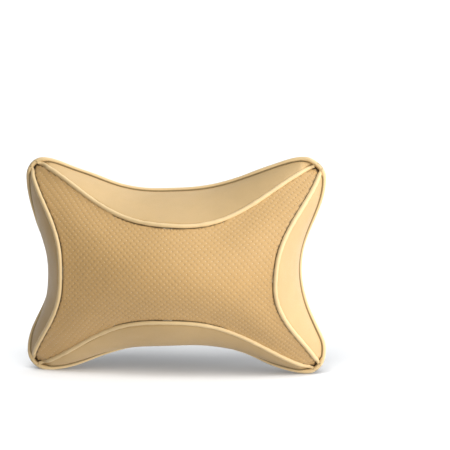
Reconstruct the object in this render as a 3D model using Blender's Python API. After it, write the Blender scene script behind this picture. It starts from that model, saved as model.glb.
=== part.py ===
"""Bone-shaped car neck pillow: stuffed leather cover, zipped back and adjustable headrest strap.

The pillow stands upright. Its face looks along -Y, +X is to its right and +Z is up. The sewn outer
rim lies in one plane, the seam plane. Every piece is drawn about the middle of that plane and is
parented to an empty there, so y = 0 is the rim, negative y is towards the face and positive y is
towards the headrest. All sizes are in metres.
"""

import math

import bmesh
import bpy
from mathutils import Vector

# Outer rim, along the middle of its piping
HALF_WIDTH = 0.1382
HALF_HEIGHT = 0.0988
CORNER_RADIUS = 0.0162
WAIST_HALF_WIDTH = 0.1163
WAIST_HALF_HEIGHT = 0.0705
TOP_DIP_SHARPNESS = 1.37
SIDE_DIP_SHARPNESS = 1.0

# Face panel, along the middle of the four face pipings
FACE_TIP_HALF_WIDTH = 0.136
FACE_TIP_HALF_HEIGHT = 0.096
FACE_WAIST_HALF_WIDTH = 0.0987
FACE_WAIST_HALF_HEIGHT = 0.0445
FACE_TOP_SHARPNESS = 1.33
FACE_SIDE_SHARPNESS = 1.24
FACE_DIP_REACH = 0.93
FACE_DEPTH = 0.066
FACE_DEPTH_POWER = 1.25
FACE_CROWN_LOSS = 2 / 3
CROWN_DEPTH = FACE_DEPTH * (2 - FACE_CROWN_LOSS)

# How far the middle of each gusset stands proud of a flat strip
GUSSET_BULGE = {"top": 0.005, "bottom": 0.010, "left": 0.008, "right": 0.006}
GUSSET_END = 0.89

# Back panel: a flat middle that slopes down to the rim
BACK_DEPTH = 0.013
BACK_FLAT_SHARE_X = 0.8
BACK_FLAT_SHARE_Z = 0.67
BACK_EDGE_POWER = 0.75
BACK_INSET_SHARE = 1.3

# Materials' thicknesses and clearances
COVER = 0.002
PIPING_RADIUS = 0.0022
GAP = 0.0003
SEAM_EDGE = PIPING_RADIUS + 2 * GAP
BACK_EDGE = SEAM_EDGE + COVER / 2
GUSSET_EDGE = 1.2 * SEAM_EDGE
TIP_EDGE = 0.0026
TIP_POWER = 8
SLANT_SHARE = 0.4
FACE_PIPING_END = {"top": 0.943, "bottom": 0.943, "left": 0.932, "right": 0.932}
BAG = 0.001
BAG_INSET = 0.004
BAG_RIM_SPREAD = 0.0008
BAG_CORNER_RADIUS = 0.0142
FILLING_INSET = 0.0080
FILLING_CORNER_RADIUS = 0.010
FILLING_EDGE = 0.0003
TIP_INSET_SHARE = 1.75
FACE_SHARE = 0.8

# Zip across the back
ZIP_Z = -0.028
ZIP_HALF_LENGTH = 0.092
SLOT_HALF_HEIGHT = 0.0034
SLOT_END_ROOM = 0.004
TAPE = 0.0007
TAPE_WIDTH = 0.014
CHAIN_GAP_HALF = 0.0006
COIL_WIDTH = 0.002
COIL_HEIGHT = 0.0014
STOP_LENGTH = 0.0024
SLIDER_LENGTH = 0.009
SLIDER_WIDTH = 0.0064
SLIDER_PLATE = 0.0012
SLIDER_UNDER_PLATE = 0.0008
SLIDER_JOIN = 0.0004
SLIDER_NECK = 0.0006
SLIDER_NECK_LENGTH = 0.0012
SLIDER_X = -0.086
ARCH_RADIUS = 0.0032
ARCH_WIRE = 0.0013
PULL_LENGTH = 0.024
PULL_WIDTH = 0.0056
PULL_THICKNESS = 0.0012
PULL_EYE_LENGTH = 0.0046
PULL_EYE_WIDTH = 0.0026
PULL_BAR = 0.0014

# Strap across the back, with its slider and ring
STRAP_WIDTH = 0.025
STRAP = 0.0012
STRAP_LIFT = 0.027
STRAP_END_LIFT = 0.0105
STRAP_END_X = 0.111
STRAP_FLAT_X = 0.060
STRAP_SAG_POWER = 2.6
RING_WIRE = 0.0013
RING_X = (0.048, 0.058)
RING_HALF_HEIGHT = 0.0145
GLIDE_X = 0.004
GLIDE_SIZE = (0.018, 0.0024, 0.032)
GLIDE_BAR = 0.003
GLIDE_SLOT = (0.005, 0.0265)
FOLD = 0.0008
ANCHOR_TAIL_SHARE = 0.12
ANCHOR_CLOSING = 0.6

# How finely the surfaces are drawn, as columns and rows or as steps along an edge
FACE_GRID = (28, 18)
BACK_GRID = (30, 20)
BAG_GRID = (20, 10)
FILLING_GRID = (20, 10)
GUSSET_COLUMNS = {"top": 22, "bottom": 22, "left": 18, "right": 18}
GUSSET_ROWS = 4
RIM_STEPS = {"top": 34, "bottom": 34, "left": 26, "right": 26}
EDGE_STEPS = 28
STRAP_STEPS = 12
TURN_STEPS = 8

# The whole box is centred in y and stands on z = 0
FRONT_REACH = CROWN_DEPTH + COVER / 2
FOLD_BASE = STRAP_LIFT + STRAP / 2 + GAP
GLIDE_BASE = FOLD_BASE + FOLD + GAP
REAR_REACH = GLIDE_BASE + GLIDE_SIZE[1] + GAP + FOLD
SEAM_PLANE_Y = (FRONT_REACH - REAR_REACH) / 2
CENTRE_Z = HALF_HEIGHT + PIPING_RADIUS

RIGHT_ANGLE = math.pi / 2


# ---------------------------------------------------------------- the pillow's surfaces


def ramp(t, sharpness, reach=1.0):
    """Rises from 0 in the middle of an edge, t = 0, to 1 at its ends, t = -1 and 1."""
    end = math.sin(reach * RIGHT_ANGLE)
    return (math.sin(reach * RIGHT_ANGLE * abs(t) ** sharpness) / end) ** 2


def swell(t):
    """Falls from 1 in the middle of the face to 0 at its edge."""
    return max(0.0, 1 - t * t) ** FACE_DEPTH_POWER


def plateau(t, flat_share):
    """1 over the flat middle of the back, then a smooth fall to 0 at the rim."""
    outside = max(0.0, abs(t) - flat_share) / (1 - flat_share)
    return max(0.0, 1 - outside**2) ** BACK_EDGE_POWER


class Form:
    """The pillow's outer surfaces, drawn in by `inset` from the sewn cover."""

    def __init__(self, inset=0.0, radius=CORNER_RADIUS):
        self.radius = radius
        self.corner_x = HALF_WIDTH - inset - self.radius
        self.corner_z = HALF_HEIGHT - inset - self.radius
        self.waist_x = WAIST_HALF_WIDTH - inset
        self.waist_z = WAIST_HALF_HEIGHT - inset
        self.tip_x = FACE_TIP_HALF_WIDTH - TIP_INSET_SHARE * inset
        self.tip_z = FACE_TIP_HALF_HEIGHT - TIP_INSET_SHARE * inset
        self.face_x = FACE_WAIST_HALF_WIDTH - inset
        self.face_z = FACE_WAIST_HALF_HEIGHT - inset
        self.face_depth = FACE_DEPTH - inset
        self.back_depth = BACK_DEPTH - BACK_INSET_SHARE * inset
        self.rim_corner = self.rim_top(1.0)

    def rim_top(self, u):
        """The rim's top edge as (x, z): a dipped curve that ends half way round the corners."""
        along = abs(u) * (self.corner_x + self.radius * RIGHT_ANGLE / 2)
        side = math.copysign(1.0, u)
        if along <= self.corner_x:
            rise = ramp(along / self.corner_x, TOP_DIP_SHARPNESS)
            full = self.corner_z + self.radius - self.waist_z
            return side * along, self.waist_z + full * rise
        angle = (along - self.corner_x) / self.radius
        x = self.corner_x + self.radius * math.sin(angle)
        return side * x, self.corner_z + self.radius * math.cos(angle)

    def rim_side(self, v):
        """The rim's right edge as (x, z), in the same way."""
        along = abs(v) * (self.corner_z + self.radius * RIGHT_ANGLE / 2)
        side = math.copysign(1.0, v)
        if along <= self.corner_z:
            rise = ramp(along / self.corner_z, SIDE_DIP_SHARPNESS)
            full = self.corner_x + self.radius - self.waist_x
            return self.waist_x + full * rise, side * along
        angle = (along - self.corner_z) / self.radius
        z = self.corner_z + self.radius * math.sin(angle)
        return self.corner_x + self.radius * math.cos(angle), side * z

    def rim(self, edge, t):
        """A point of the rim: t runs from -1 to 1 along the named edge."""
        if edge in ("top", "bottom"):
            x, z = self.rim_top(t)
            return Vector((x, 0, z if edge == "top" else -z))
        x, z = self.rim_side(t)
        return Vector((x if edge == "right" else -x, 0, z))

    def face(self, u, v):
        """The face panel, u across and v up, each from -1 to 1."""
        dip_x = ramp(v, FACE_SIDE_SHARPNESS, FACE_DIP_REACH)
        dip_z = ramp(u, FACE_TOP_SHARPNESS, FACE_DIP_REACH)
        x = u * (self.face_x + (self.tip_x - self.face_x) * dip_x)
        z = v * (self.face_z + (self.tip_z - self.face_z) * dip_z)
        across, up = swell(u), swell(v)
        depth = self.face_depth * (across + up - FACE_CROWN_LOSS * across * up)
        return Vector((x, -depth, z))

    def face_edge(self, edge, t):
        """A point of the face panel's edge."""
        place = {"top": (t, 1), "bottom": (t, -1), "right": (1, t), "left": (-1, t)}
        return self.face(*place[edge])

    def gusset(self, edge, t, s):
        """The side strip of the named edge, s from 0 at the rim to 1 at the face."""
        outward = {
            "top": Vector((0, 0, 1)),
            "bottom": Vector((0, 0, -1)),
            "right": Vector((1, 0, 0)),
            "left": Vector((-1, 0, 0)),
        }[edge]
        rear = self.rim(edge, t)
        chord = self.face_edge(edge, t) - rear
        widest = (self.face_edge(edge, 0) - self.rim(edge, 0)).length
        proud = outward * -chord.y + Vector((0, 1, 0)) * chord.dot(outward)
        height = GUSSET_BULGE[edge] * (chord.length / widest) ** 2 * 4 * s * (1 - s)
        return rear + chord * s + proud.normalized() * height

    def back(self, u, v):
        """The back panel, u across and v up, with its edge on the rim."""
        top_x, top_z = self.rim_top(u)
        side_x, side_z = self.rim_side(v)
        corner_x, corner_z = self.rim_corner
        x = top_x + u * (side_x - corner_x)
        z = side_z + v * (top_z - corner_z)
        depth = plateau(u, BACK_FLAT_SHARE_X) * plateau(v, BACK_FLAT_SHARE_Z)
        return Vector((x, self.back_depth * depth, z))

    def front(self, a, b):
        """The whole front half, face and gussets, for a and b from -1 to 1."""
        reach = max(abs(a), abs(b))
        if reach <= FACE_SHARE + 1e-6:
            return self.face(a / FACE_SHARE, b / FACE_SHARE)
        s = (1 - reach) / (1 - FACE_SHARE)
        if abs(b) >= abs(a):
            return self.gusset("top" if b > 0 else "bottom", a / reach, s)
        return self.gusset("right" if a > 0 else "left", b / reach, s)


COVER_FORM = Form()
BAG_FORM = Form(BAG_INSET, BAG_CORNER_RADIUS)
FILLING_FORM = Form(FILLING_INSET, FILLING_CORNER_RADIUS)


# ---------------------------------------------------------------- scene and mesh helpers


def clear_scene():
    for old in list(bpy.data.objects):
        bpy.data.objects.remove(old)


def make_material(name, colour, roughness, metallic=0.0):
    material = bpy.data.materials.new(name)
    material.use_nodes = True
    shader = material.node_tree.nodes["Principled BSDF"]
    shader.inputs["Base Color"].default_value = (*colour, 1.0)
    shader.inputs["Roughness"].default_value = roughness
    shader.inputs["Metallic"].default_value = metallic
    return material


def add_object(name, data, material, place=(0, 0, 0)):
    """Adds an object to the pillow's frame, with its origin at `place`."""
    piece = bpy.data.objects.new(name, data)
    data.materials.append(material)
    piece.location = place
    piece.parent = bpy.data.objects["pillow_frame"]
    bpy.context.collection.objects.link(piece)
    return piece


def add_frame():
    """The empty in the middle of the seam plane."""
    frame = bpy.data.objects.new("pillow_frame", None)
    frame.location = (0, SEAM_PLANE_Y, CENTRE_Z)
    bpy.context.collection.objects.link(frame)


def finish_mesh(name, bm, smooth=True):
    """Turns a closed bmesh into a mesh with its faces pointing out."""
    bmesh.ops.recalc_face_normals(bm, faces=bm.faces[:])
    if bm.calc_volume(signed=True) < 0:
        bmesh.ops.reverse_faces(bm, faces=bm.faces[:])
    mesh = bpy.data.meshes.new(name)
    bm.to_mesh(mesh)
    bm.free()
    if smooth:
        mesh.shade_smooth()
        mesh.set_sharp_from_angle(angle=math.radians(40))
    return mesh


def spaced(low, high, count):
    """count + 1 evenly spaced values from low to high."""
    return [low + (high - low) * i / count for i in range(count + 1)]


def grid_faces(bm, grid):
    for lower, upper in zip(grid, grid[1:]):
        for i in range(len(lower) - 1):
            bm.faces.new((lower[i], lower[i + 1], upper[i + 1], upper[i]))


def rim_loop(grid):
    """The border of a grid of vertices, in order all the way round."""
    right = [row[-1] for row in grid[1:-1]]
    left = [row[0] for row in grid[1:-1]]
    return grid[0] + right + grid[-1][::-1] + left[::-1]


def join_loops(bm, near, far):
    """A strip of faces between two closed loops of vertices."""
    for i in range(len(near)):
        j = (i + 1) % len(near)
        bm.faces.new((near[i], near[j], far[j], far[i]))


def normal_at(points, row, column):
    """The surface's normal at one point of a grid of points."""
    last_row, last_column = len(points) - 1, len(points[0]) - 1
    across = points[row][min(column + 1, last_column)] - points[row][max(column - 1, 0)]
    up = points[min(row + 1, last_row)][column] - points[max(row - 1, 0)][column]
    return across.cross(up).normalized()


def sheet_mesh(name, points, thickness):
    """A sheet of even thickness about a grid of points, closed round its edge."""
    bm = bmesh.new()
    skins = []
    for side in (0.5, -0.5):
        skin = []
        for r, row in enumerate(points):
            offsets = [normal_at(points, r, c) * thickness * side for c in range(len(row))]
            skin.append([bm.verts.new(p + o) for p, o in zip(row, offsets)])
        grid_faces(bm, skin)
        skins.append(rim_loop(skin))
    join_loops(bm, *skins)
    return finish_mesh(name, bm)


def prism_mesh(name, outline, low, high, smooth=False):
    """An outline in x and y, extruded along z from low to high."""
    bm = bmesh.new()
    base = bm.faces.new([bm.verts.new((x, y, low)) for x, y in outline])
    made = bmesh.ops.extrude_face_region(bm, geom=[base])
    top = [v for v in made["geom"] if isinstance(v, bmesh.types.BMVert)]
    bmesh.ops.translate(bm, verts=top, vec=(0, 0, high - low))
    return finish_mesh(name, bm, smooth)


def box_mesh(name, low, high):
    x0, y0, z0 = low
    x1, y1, z1 = high
    return prism_mesh(name, [(x0, y0), (x1, y0), (x1, y1), (x0, y1)], z0, z1)


def band_mesh(name, path, thickness, width):
    """A flat band whose middle follows a path in x and y, centred on z = 0."""
    points = [Vector(p) for p in path]
    left, right = [], []
    for i, point in enumerate(points):
        along = points[min(i + 1, len(points) - 1)] - points[max(i - 1, 0)]
        across = Vector((-along.y, along.x)).normalized() * thickness / 2
        left.append(tuple(point + across))
        right.append(tuple(point - across))
    return prism_mesh(name, left + right[::-1], -width / 2, width / 2, smooth=True)


def arc(centre, radius, start, end, count):
    """Points on a circle in x and y, between two angles in degrees."""
    turned = [math.radians(a) for a in spaced(start, end, count)]
    return [(centre[0] + radius * math.cos(a), centre[1] + radius * math.sin(a)) for a in turned]


def add_tube(name, path, radius, material, closed=False):
    """A round cord along a path, with flat ends unless it is closed."""
    curve = bpy.data.curves.new(name, "CURVE")
    curve.dimensions = "3D"
    curve.bevel_depth = radius
    curve.bevel_resolution = 2
    curve.use_fill_caps = not closed
    spline = curve.splines.new("POLY")
    spline.points.add(len(path) - 1)
    for point, place in zip(spline.points, path):
        point.co = (*place, 1.0)
    spline.use_cyclic_u = closed
    return add_object(name, curve, material)


def add_bevel(piece, width, segments=2):
    bevel = piece.modifiers.new("soft edges", "BEVEL")
    bevel.width = width
    bevel.segments = segments
    bevel.limit_method = "ANGLE"


def add_boolean(piece, name, mesh, operation):
    """Joins a helper solid to a piece, or cuts it out of the piece."""
    helper = add_object(name, mesh, piece.data.materials[0], piece.location)
    helper.hide_render = True
    helper.display_type = "WIRE"
    step = piece.modifiers.new(name, "BOOLEAN")
    step.operation = operation
    step.solver = "EXACT"
    step.object = helper


# ---------------------------------------------------------------- cover


def face_panel_points(columns, rows):
    """The face panel inside its pipings, held back a little more at its four tips."""
    grid = []
    for b in spaced(-1, 1, rows):
        row = []
        for a in spaced(-1, 1, columns):
            held_back = SEAM_EDGE * (1 + SLANT_SHARE * (a * b) ** 2) + TIP_EDGE * (a * b) ** TIP_POWER
            u = a * (1 - held_back / COVER_FORM.face(1, b).x)
            v = b * (1 - held_back / COVER_FORM.face(a, 1).z)
            row.append(COVER_FORM.face(u, v))
        grid.append(row)
    return grid


def gusset_points(edge, columns, rows):
    """A side strip between the rim piping and the face piping."""
    grid = [[] for _ in range(rows + 1)]
    for t in spaced(-GUSSET_END, GUSSET_END, columns):
        width = (COVER_FORM.face_edge(edge, t) - COVER_FORM.rim(edge, t)).length
        margin = GUSSET_EDGE / width
        for row, s in zip(grid, spaced(margin, 1 - margin, rows)):
            row.append(COVER_FORM.gusset(edge, t, s))
    return grid


def back_points(columns, rows):
    """The whole back panel inside the rim piping."""
    grid = []
    for b in spaced(-1, 1, rows):
        row = []
        for a in spaced(-1, 1, columns):
            held_back = BACK_EDGE + TIP_EDGE * (a * b) ** TIP_POWER
            u = a * (1 - held_back / COVER_FORM.rim_side(b)[0])
            v = b * (1 - held_back / COVER_FORM.rim_top(a)[1])
            row.append(COVER_FORM.back(u, v))
        grid.append(row)
    return grid


def add_cover(leather, perforated):
    grid = face_panel_points(*FACE_GRID)
    add_object("face_panel", sheet_mesh("face_panel", grid, COVER), perforated)
    for edge in GUSSET_BULGE:
        name = f"gusset_{edge}"
        grid = gusset_points(edge, GUSSET_COLUMNS[edge], GUSSET_ROWS)
        add_object(name, sheet_mesh(name, grid, COVER), leather)
    add_back_panels(leather)


def add_back_panels(leather):
    """The back in two pieces that meet across the zip, with a slot for the zip's chain."""
    whole = sheet_mesh("back_panel", back_points(*BACK_GRID), COVER)
    slot = slot_box("zip_slot")
    far = 2 * HALF_WIDTH
    cuts = {"upper": (-far, ZIP_Z + GAP / 2), "lower": (ZIP_Z - GAP / 2, far)}
    for half, (low, high) in cuts.items():
        name = f"back_panel_{half}"
        panel = add_object(name, whole.copy(), leather)
        rest = box_mesh(f"{name}_rest", (-far, -far, low), (far, far, high))
        add_boolean(panel, f"{name}_cut", rest, "DIFFERENCE")
        add_boolean(panel, f"{name}_slot", slot.copy(), "DIFFERENCE")


def slot_box(name):
    end = ZIP_HALF_LENGTH + SLOT_END_ROOM
    low = (-end, 0, ZIP_Z - SLOT_HALF_HEIGHT)
    high = (end, 2 * BACK_DEPTH, ZIP_Z + SLOT_HALF_HEIGHT)
    return box_mesh(name, low, high)


def rim_path():
    """The middle of the rim piping, once round the pillow."""
    path = []
    turns = (("top", 1), ("right", -1), ("bottom", -1), ("left", 1))
    for edge, direction in turns:
        steps = spaced(-direction, direction, RIM_STEPS[edge])[:-1]
        path += [COVER_FORM.rim(edge, t) for t in steps]
    return path


def add_pipings(leather):
    add_tube("piping_rim", rim_path(), PIPING_RADIUS, leather, closed=True)
    for edge, end in FACE_PIPING_END.items():
        path = [COVER_FORM.face_edge(edge, t) for t in spaced(-end, end, EDGE_STEPS)]
        add_tube(f"piping_face_{edge}", path, PIPING_RADIUS, leather)


# ---------------------------------------------------------------- filling


def half_points(surface, spread, columns, rows):
    """One half of the stuffing bag, moved off the seam plane by `spread`."""
    move = Vector((0, spread, 0))
    return [[surface(a, b) + move for a in spaced(-1, 1, columns)] for b in spaced(-1, 1, rows)]


def add_bag(fabric):
    front = half_points(BAG_FORM.front, -BAG_RIM_SPREAD, *BAG_GRID)
    back = half_points(BAG_FORM.back, BAG_RIM_SPREAD, *BAG_GRID)
    add_object("inner_bag_front", sheet_mesh("inner_bag_front", front, BAG), fabric)
    add_object("inner_bag_back", sheet_mesh("inner_bag_back", back, BAG), fabric)


def add_filling(fibre):
    """The stuffing: the bag's shape as one closed solid."""
    bm = bmesh.new()
    loops = []
    for surface, side in ((FILLING_FORM.front, -1), (FILLING_FORM.back, 1)):
        points = half_points(surface, side * FILLING_EDGE, *FILLING_GRID)
        skin = [[bm.verts.new(p) for p in row] for row in points]
        grid_faces(bm, skin)
        loops.append(rim_loop(skin))
    join_loops(bm, *loops)
    add_object("filling", finish_mesh("filling", bm), fibre)


# ---------------------------------------------------------------- zip


def add_zip(tape_fabric, chain_nylon, metal):
    tape_top = BACK_DEPTH - COVER / 2 - GAP
    chain_low = tape_top + GAP
    tape_end = ZIP_HALF_LENGTH + SLOT_END_ROOM
    for name, side in (("upper", 1), ("lower", -1)):
        near = ZIP_Z + side * CHAIN_GAP_HALF
        edges = sorted((near, near + side * TAPE_WIDTH))
        low, high = (-tape_end, tape_top - TAPE, edges[0]), (tape_end, tape_top, edges[1])
        add_object(f"zip_tape_{name}", box_mesh("tape", low, high), tape_fabric)
        edges = sorted((near, near + side * COIL_WIDTH))
        low = (-ZIP_HALF_LENGTH, chain_low, edges[0])
        high = (ZIP_HALF_LENGTH, chain_low + COIL_HEIGHT, edges[1])
        coil = add_object(f"zip_coil_{name}", box_mesh("coil", low, high), chain_nylon)
        add_bevel(coil, COIL_HEIGHT / 4)
    for name, side in (("closed", -1), ("open", 1)):
        near = side * (ZIP_HALF_LENGTH + GAP)
        ends = sorted((near, near + side * STOP_LENGTH))
        half = CHAIN_GAP_HALF + COIL_WIDTH
        low = (ends[0], chain_low, ZIP_Z - half)
        high = (ends[1], chain_low + COIL_HEIGHT, ZIP_Z + half)
        stop = add_object(f"zip_stop_{name}", box_mesh("stop", low, high), metal)
        add_bevel(stop, COIL_HEIGHT / 4)
    add_zip_slider(metal)
    add_pull_tab(metal)


def pull_pivot():
    """The pull tab's pivot, above the slider's top plate."""
    plate_top = BACK_DEPTH + COVER / 2 + GAP + SLIDER_PLATE
    return Vector((SLIDER_X, plate_top + GAP + PULL_THICKNESS / 2, ZIP_Z))


def add_zip_slider(metal):
    """Two plates joined by a neck between the coils, with an arch for the pull tab."""
    origin = pull_pivot()
    plate_low = BACK_DEPTH + COVER / 2 + GAP - origin.y
    tape_low = BACK_DEPTH - COVER / 2 - GAP - TAPE - origin.y
    half_length, half_width = SLIDER_LENGTH / 2, SLIDER_WIDTH / 2
    low = (-half_length, plate_low, -half_width)
    high = (half_length, plate_low + SLIDER_PLATE, half_width)
    slider = add_object("zip_slider", box_mesh("slider", low, high), metal, origin)
    bottom_high = tape_low - GAP
    low = (-half_length, bottom_high - SLIDER_UNDER_PLATE, -half_width)
    high = (half_length, bottom_high, half_width)
    bottom = box_mesh("slider_bottom", low, high)
    neck_start = SLIDER_JOIN - half_length
    low = (neck_start, bottom_high - SLIDER_JOIN, -SLIDER_NECK / 2)
    high = (neck_start + SLIDER_NECK_LENGTH, plate_low + SLIDER_JOIN, SLIDER_NECK / 2)
    neck = box_mesh("slider_neck", low, high)
    outer = arc((0, 0), ARCH_RADIUS + ARCH_WIRE / 2, 0, 180, TURN_STEPS)
    inner = arc((0, 0), ARCH_RADIUS - ARCH_WIRE / 2, 180, 0, TURN_STEPS)
    foot = plate_low + SLIDER_PLATE / 2
    legs = [(-ARCH_RADIUS - ARCH_WIRE / 2, foot), (-ARCH_RADIUS + ARCH_WIRE / 2, foot)]
    outline = outer + legs + inner + [(-x, y) for x, y in legs[::-1]]
    arch = prism_mesh("slider_arch", outline, -ARCH_WIRE / 2, ARCH_WIRE / 2)
    add_boolean(slider, "slider_neck", neck, "UNION")
    add_boolean(slider, "slider_bottom", bottom, "UNION")
    add_boolean(slider, "slider_arch", arch, "UNION")


def add_pull_tab(metal):
    """A flat tab whose end bar sits under the slider's arch, lying along +x."""
    half = PULL_THICKNESS / 2
    near, far = -PULL_BAR / 2, PULL_LENGTH
    plate = box_mesh("tab", (near, -half, -PULL_WIDTH / 2), (far, half, PULL_WIDTH / 2))
    tab = add_object("zip_pull_tab", plate, metal, pull_pivot())
    eye_end = PULL_BAR / 2 + PULL_EYE_LENGTH
    low = (PULL_BAR / 2, -PULL_WIDTH, -PULL_EYE_WIDTH / 2)
    high = (eye_end, PULL_WIDTH, PULL_EYE_WIDTH / 2)
    add_boolean(tab, "pull_eye", box_mesh("eye", low, high), "DIFFERENCE")
    add_bevel(tab, PULL_THICKNESS / 5)


# ---------------------------------------------------------------- strap


def strap_lift(x):
    """How far the strap's middle stands behind the seam plane."""
    beyond = max(0.0, abs(x) - STRAP_FLAT_X) / (STRAP_END_X - STRAP_FLAT_X)
    return STRAP_LIFT - (STRAP_LIFT - STRAP_END_LIFT) * beyond**STRAP_SAG_POWER


def ring_bar(index):
    """The middle of one of the ring's two upright bars."""
    return RING_X[index], STRAP_LIFT + STRAP / 2 + GAP + RING_WIRE


def add_strap(webbing, plastic):
    wrap = RING_WIRE + GAP + STRAP / 2
    bar_x, bar_y = ring_bar(0)
    climb = [(x, strap_lift(x)) for x in spaced(-STRAP_END_X, -STRAP_FLAT_X, STRAP_STEPS)]
    turn = arc((bar_x, bar_y), wrap, -90, 90, TURN_STEPS)
    tail = (bar_x - 2 * wrap, bar_y + wrap)
    band = climb + turn + [tail]
    add_object("strap_band", band_mesh("strap_band", band, STRAP, STRAP_WIDTH), webbing)
    add_strap_return(webbing, tail)
    add_anchor_loop(webbing, wrap)
    add_ring(plastic)
    add_glide(plastic, webbing)


def add_strap_return(webbing, tail):
    """The strap's second layer, between the ring and the slider."""
    start_x = GLIDE_X + GLIDE_SIZE[0] / 2 + 2 * GAP
    end_x = tail[0] - GAP
    start_y, end_y = FOLD_BASE + FOLD / 2, tail[1]
    path = []
    for share in spaced(0, 1, STRAP_STEPS):
        height = start_y + (end_y - start_y) * ramp(share, 1.0)
        path.append((start_x + (end_x - start_x) * share, height))
    mesh = band_mesh("strap_return", path, FOLD, STRAP_WIDTH)
    add_object("strap_return", mesh, webbing)


def add_anchor_loop(webbing, wrap):
    """The short doubled loop that ties the ring into the right-hand seam."""
    bar_x, bar_y = ring_bar(1)
    inner = [(x, strap_lift(x)) for x in spaced(STRAP_END_X, bar_x + wrap, STRAP_STEPS)]
    turn = arc((bar_x, bar_y), wrap, 270, 90, TURN_STEPS)
    outer = []
    for share in spaced(ANCHOR_TAIL_SHARE, 1, STRAP_STEPS):
        x = bar_x + (STRAP_END_X - bar_x) * share
        apart = 2 * wrap + (STRAP + GAP - 2 * wrap) * ramp(share, ANCHOR_CLOSING)
        slope = (strap_lift(x - GAP) - strap_lift(x + GAP)) / (2 * GAP)
        outer.append((x, strap_lift(x) + apart * math.hypot(1, slope)))
    path = inner + turn + outer
    mesh = band_mesh("strap_anchor_loop", path, STRAP, STRAP_WIDTH)
    add_object("strap_anchor_loop", mesh, webbing)


def add_ring(plastic):
    """A rectangular ring of round bar, its corners rounded."""
    left, right = RING_X
    corner = 2 * RING_WIRE
    height = ring_bar(0)[1]
    corners = ((right, 1, 90), (left, 1, 180), (left, -1, 270), (right, -1, 360))
    path = []
    for x, side, end in corners:
        inward = -corner if x == right else corner
        centre = (x + inward, side * (RING_HALF_HEIGHT - corner))
        path += [Vector((px, height, pz)) for px, pz in arc(centre, corner, end - 90, end, 4)]
    add_tube("strap_ring", path, RING_WIRE, plastic, closed=True)


def add_glide(plastic, webbing):
    """The three-bar slider, with the strap's sewn end folded round its middle bar."""
    length, height, width = GLIDE_SIZE
    origin = Vector((GLIDE_X, GLIDE_BASE + height / 2, 0))
    low = (-length / 2, -height / 2, -width / 2)
    high = (length / 2, height / 2, width / 2)
    glide = add_object("strap_slider", box_mesh("glide", low, high), plastic, origin)
    slot_length, slot_width = GLIDE_SLOT
    for name, side in (("left", -1), ("right", 1)):
        ends = sorted((side * GLIDE_BAR / 2, side * (GLIDE_BAR / 2 + slot_length)))
        low = (ends[0], -height, -slot_width / 2)
        high = (ends[1], height, slot_width / 2)
        slot = box_mesh(f"glide_slot_{name}", low, high)
        add_boolean(glide, f"glide_slot_{name}", slot, "DIFFERENCE")
    add_bevel(glide, height / 6)
    add_fold(webbing, origin)


def add_fold(webbing, origin):
    """The sewn end of the strap: in under one side bar, round the middle bar and back."""
    half_x = GLIDE_BAR / 2 + GAP + FOLD / 2
    half_y = GLIDE_SIZE[1] / 2 + GAP + FOLD / 2
    start = (GLIDE_SIZE[0] / 2 + GAP, -half_y)
    corner = FOLD
    path = [start, (corner - half_x, -half_y)]
    path += arc((corner - half_x, corner - half_y), corner, 270, 180, 3)[1:]
    path += arc((corner - half_x, half_y - corner), corner, 180, 90, 3)
    path += arc((half_x - corner, half_y - corner), corner, 90, 0, 3)
    path += [(half_x, FOLD + GAP - half_y)]
    mesh = band_mesh("strap_end_fold", path, FOLD, STRAP_WIDTH)
    add_object("strap_end_fold", mesh, webbing, origin)


# ---------------------------------------------------------------- the whole pillow


def build():
    clear_scene()
    add_frame()
    perforated = make_material("perforated_leather", (0.60, 0.38, 0.16), 0.48)
    leather = make_material("smooth_leather", (0.68, 0.49, 0.27), 0.42)
    piping = make_material("piping_leather", (0.78, 0.59, 0.33), 0.35)
    lining = make_material("lining_fabric", (0.86, 0.84, 0.78), 0.9)
    fibre = make_material("polyester_fibre", (0.92, 0.92, 0.90), 0.95)
    webbing = make_material("elastic_webbing", (0.20, 0.13, 0.07), 0.85)
    plastic = make_material("moulded_plastic", (0.06, 0.045, 0.035), 0.4)
    tape = make_material("zip_tape", (0.48, 0.34, 0.19), 0.9)
    nylon = make_material("zip_nylon", (0.42, 0.29, 0.15), 0.5)
    brass = make_material("zip_metal", (0.48, 0.36, 0.18), 0.3, 1.0)
    add_cover(leather, perforated)
    add_pipings(piping)
    add_bag(lining)
    add_filling(fibre)
    add_zip(tape, nylon, brass)
    add_strap(webbing, plastic)


build()
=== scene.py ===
"""Looks of the bone-shaped car neck pillow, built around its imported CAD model.

The perforated face looks along -Y, +X is to its right and +Z is up, all in metres. The sewn cover is
written as one surface in two parameters. A short cloth simulation puffs it between its seams, and the
panels, pipings, zip, strap and stitches are then drawn on the puffed surface.
"""

import math

import bpy
import numpy as np
from mathutils import Matrix, Vector


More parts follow.
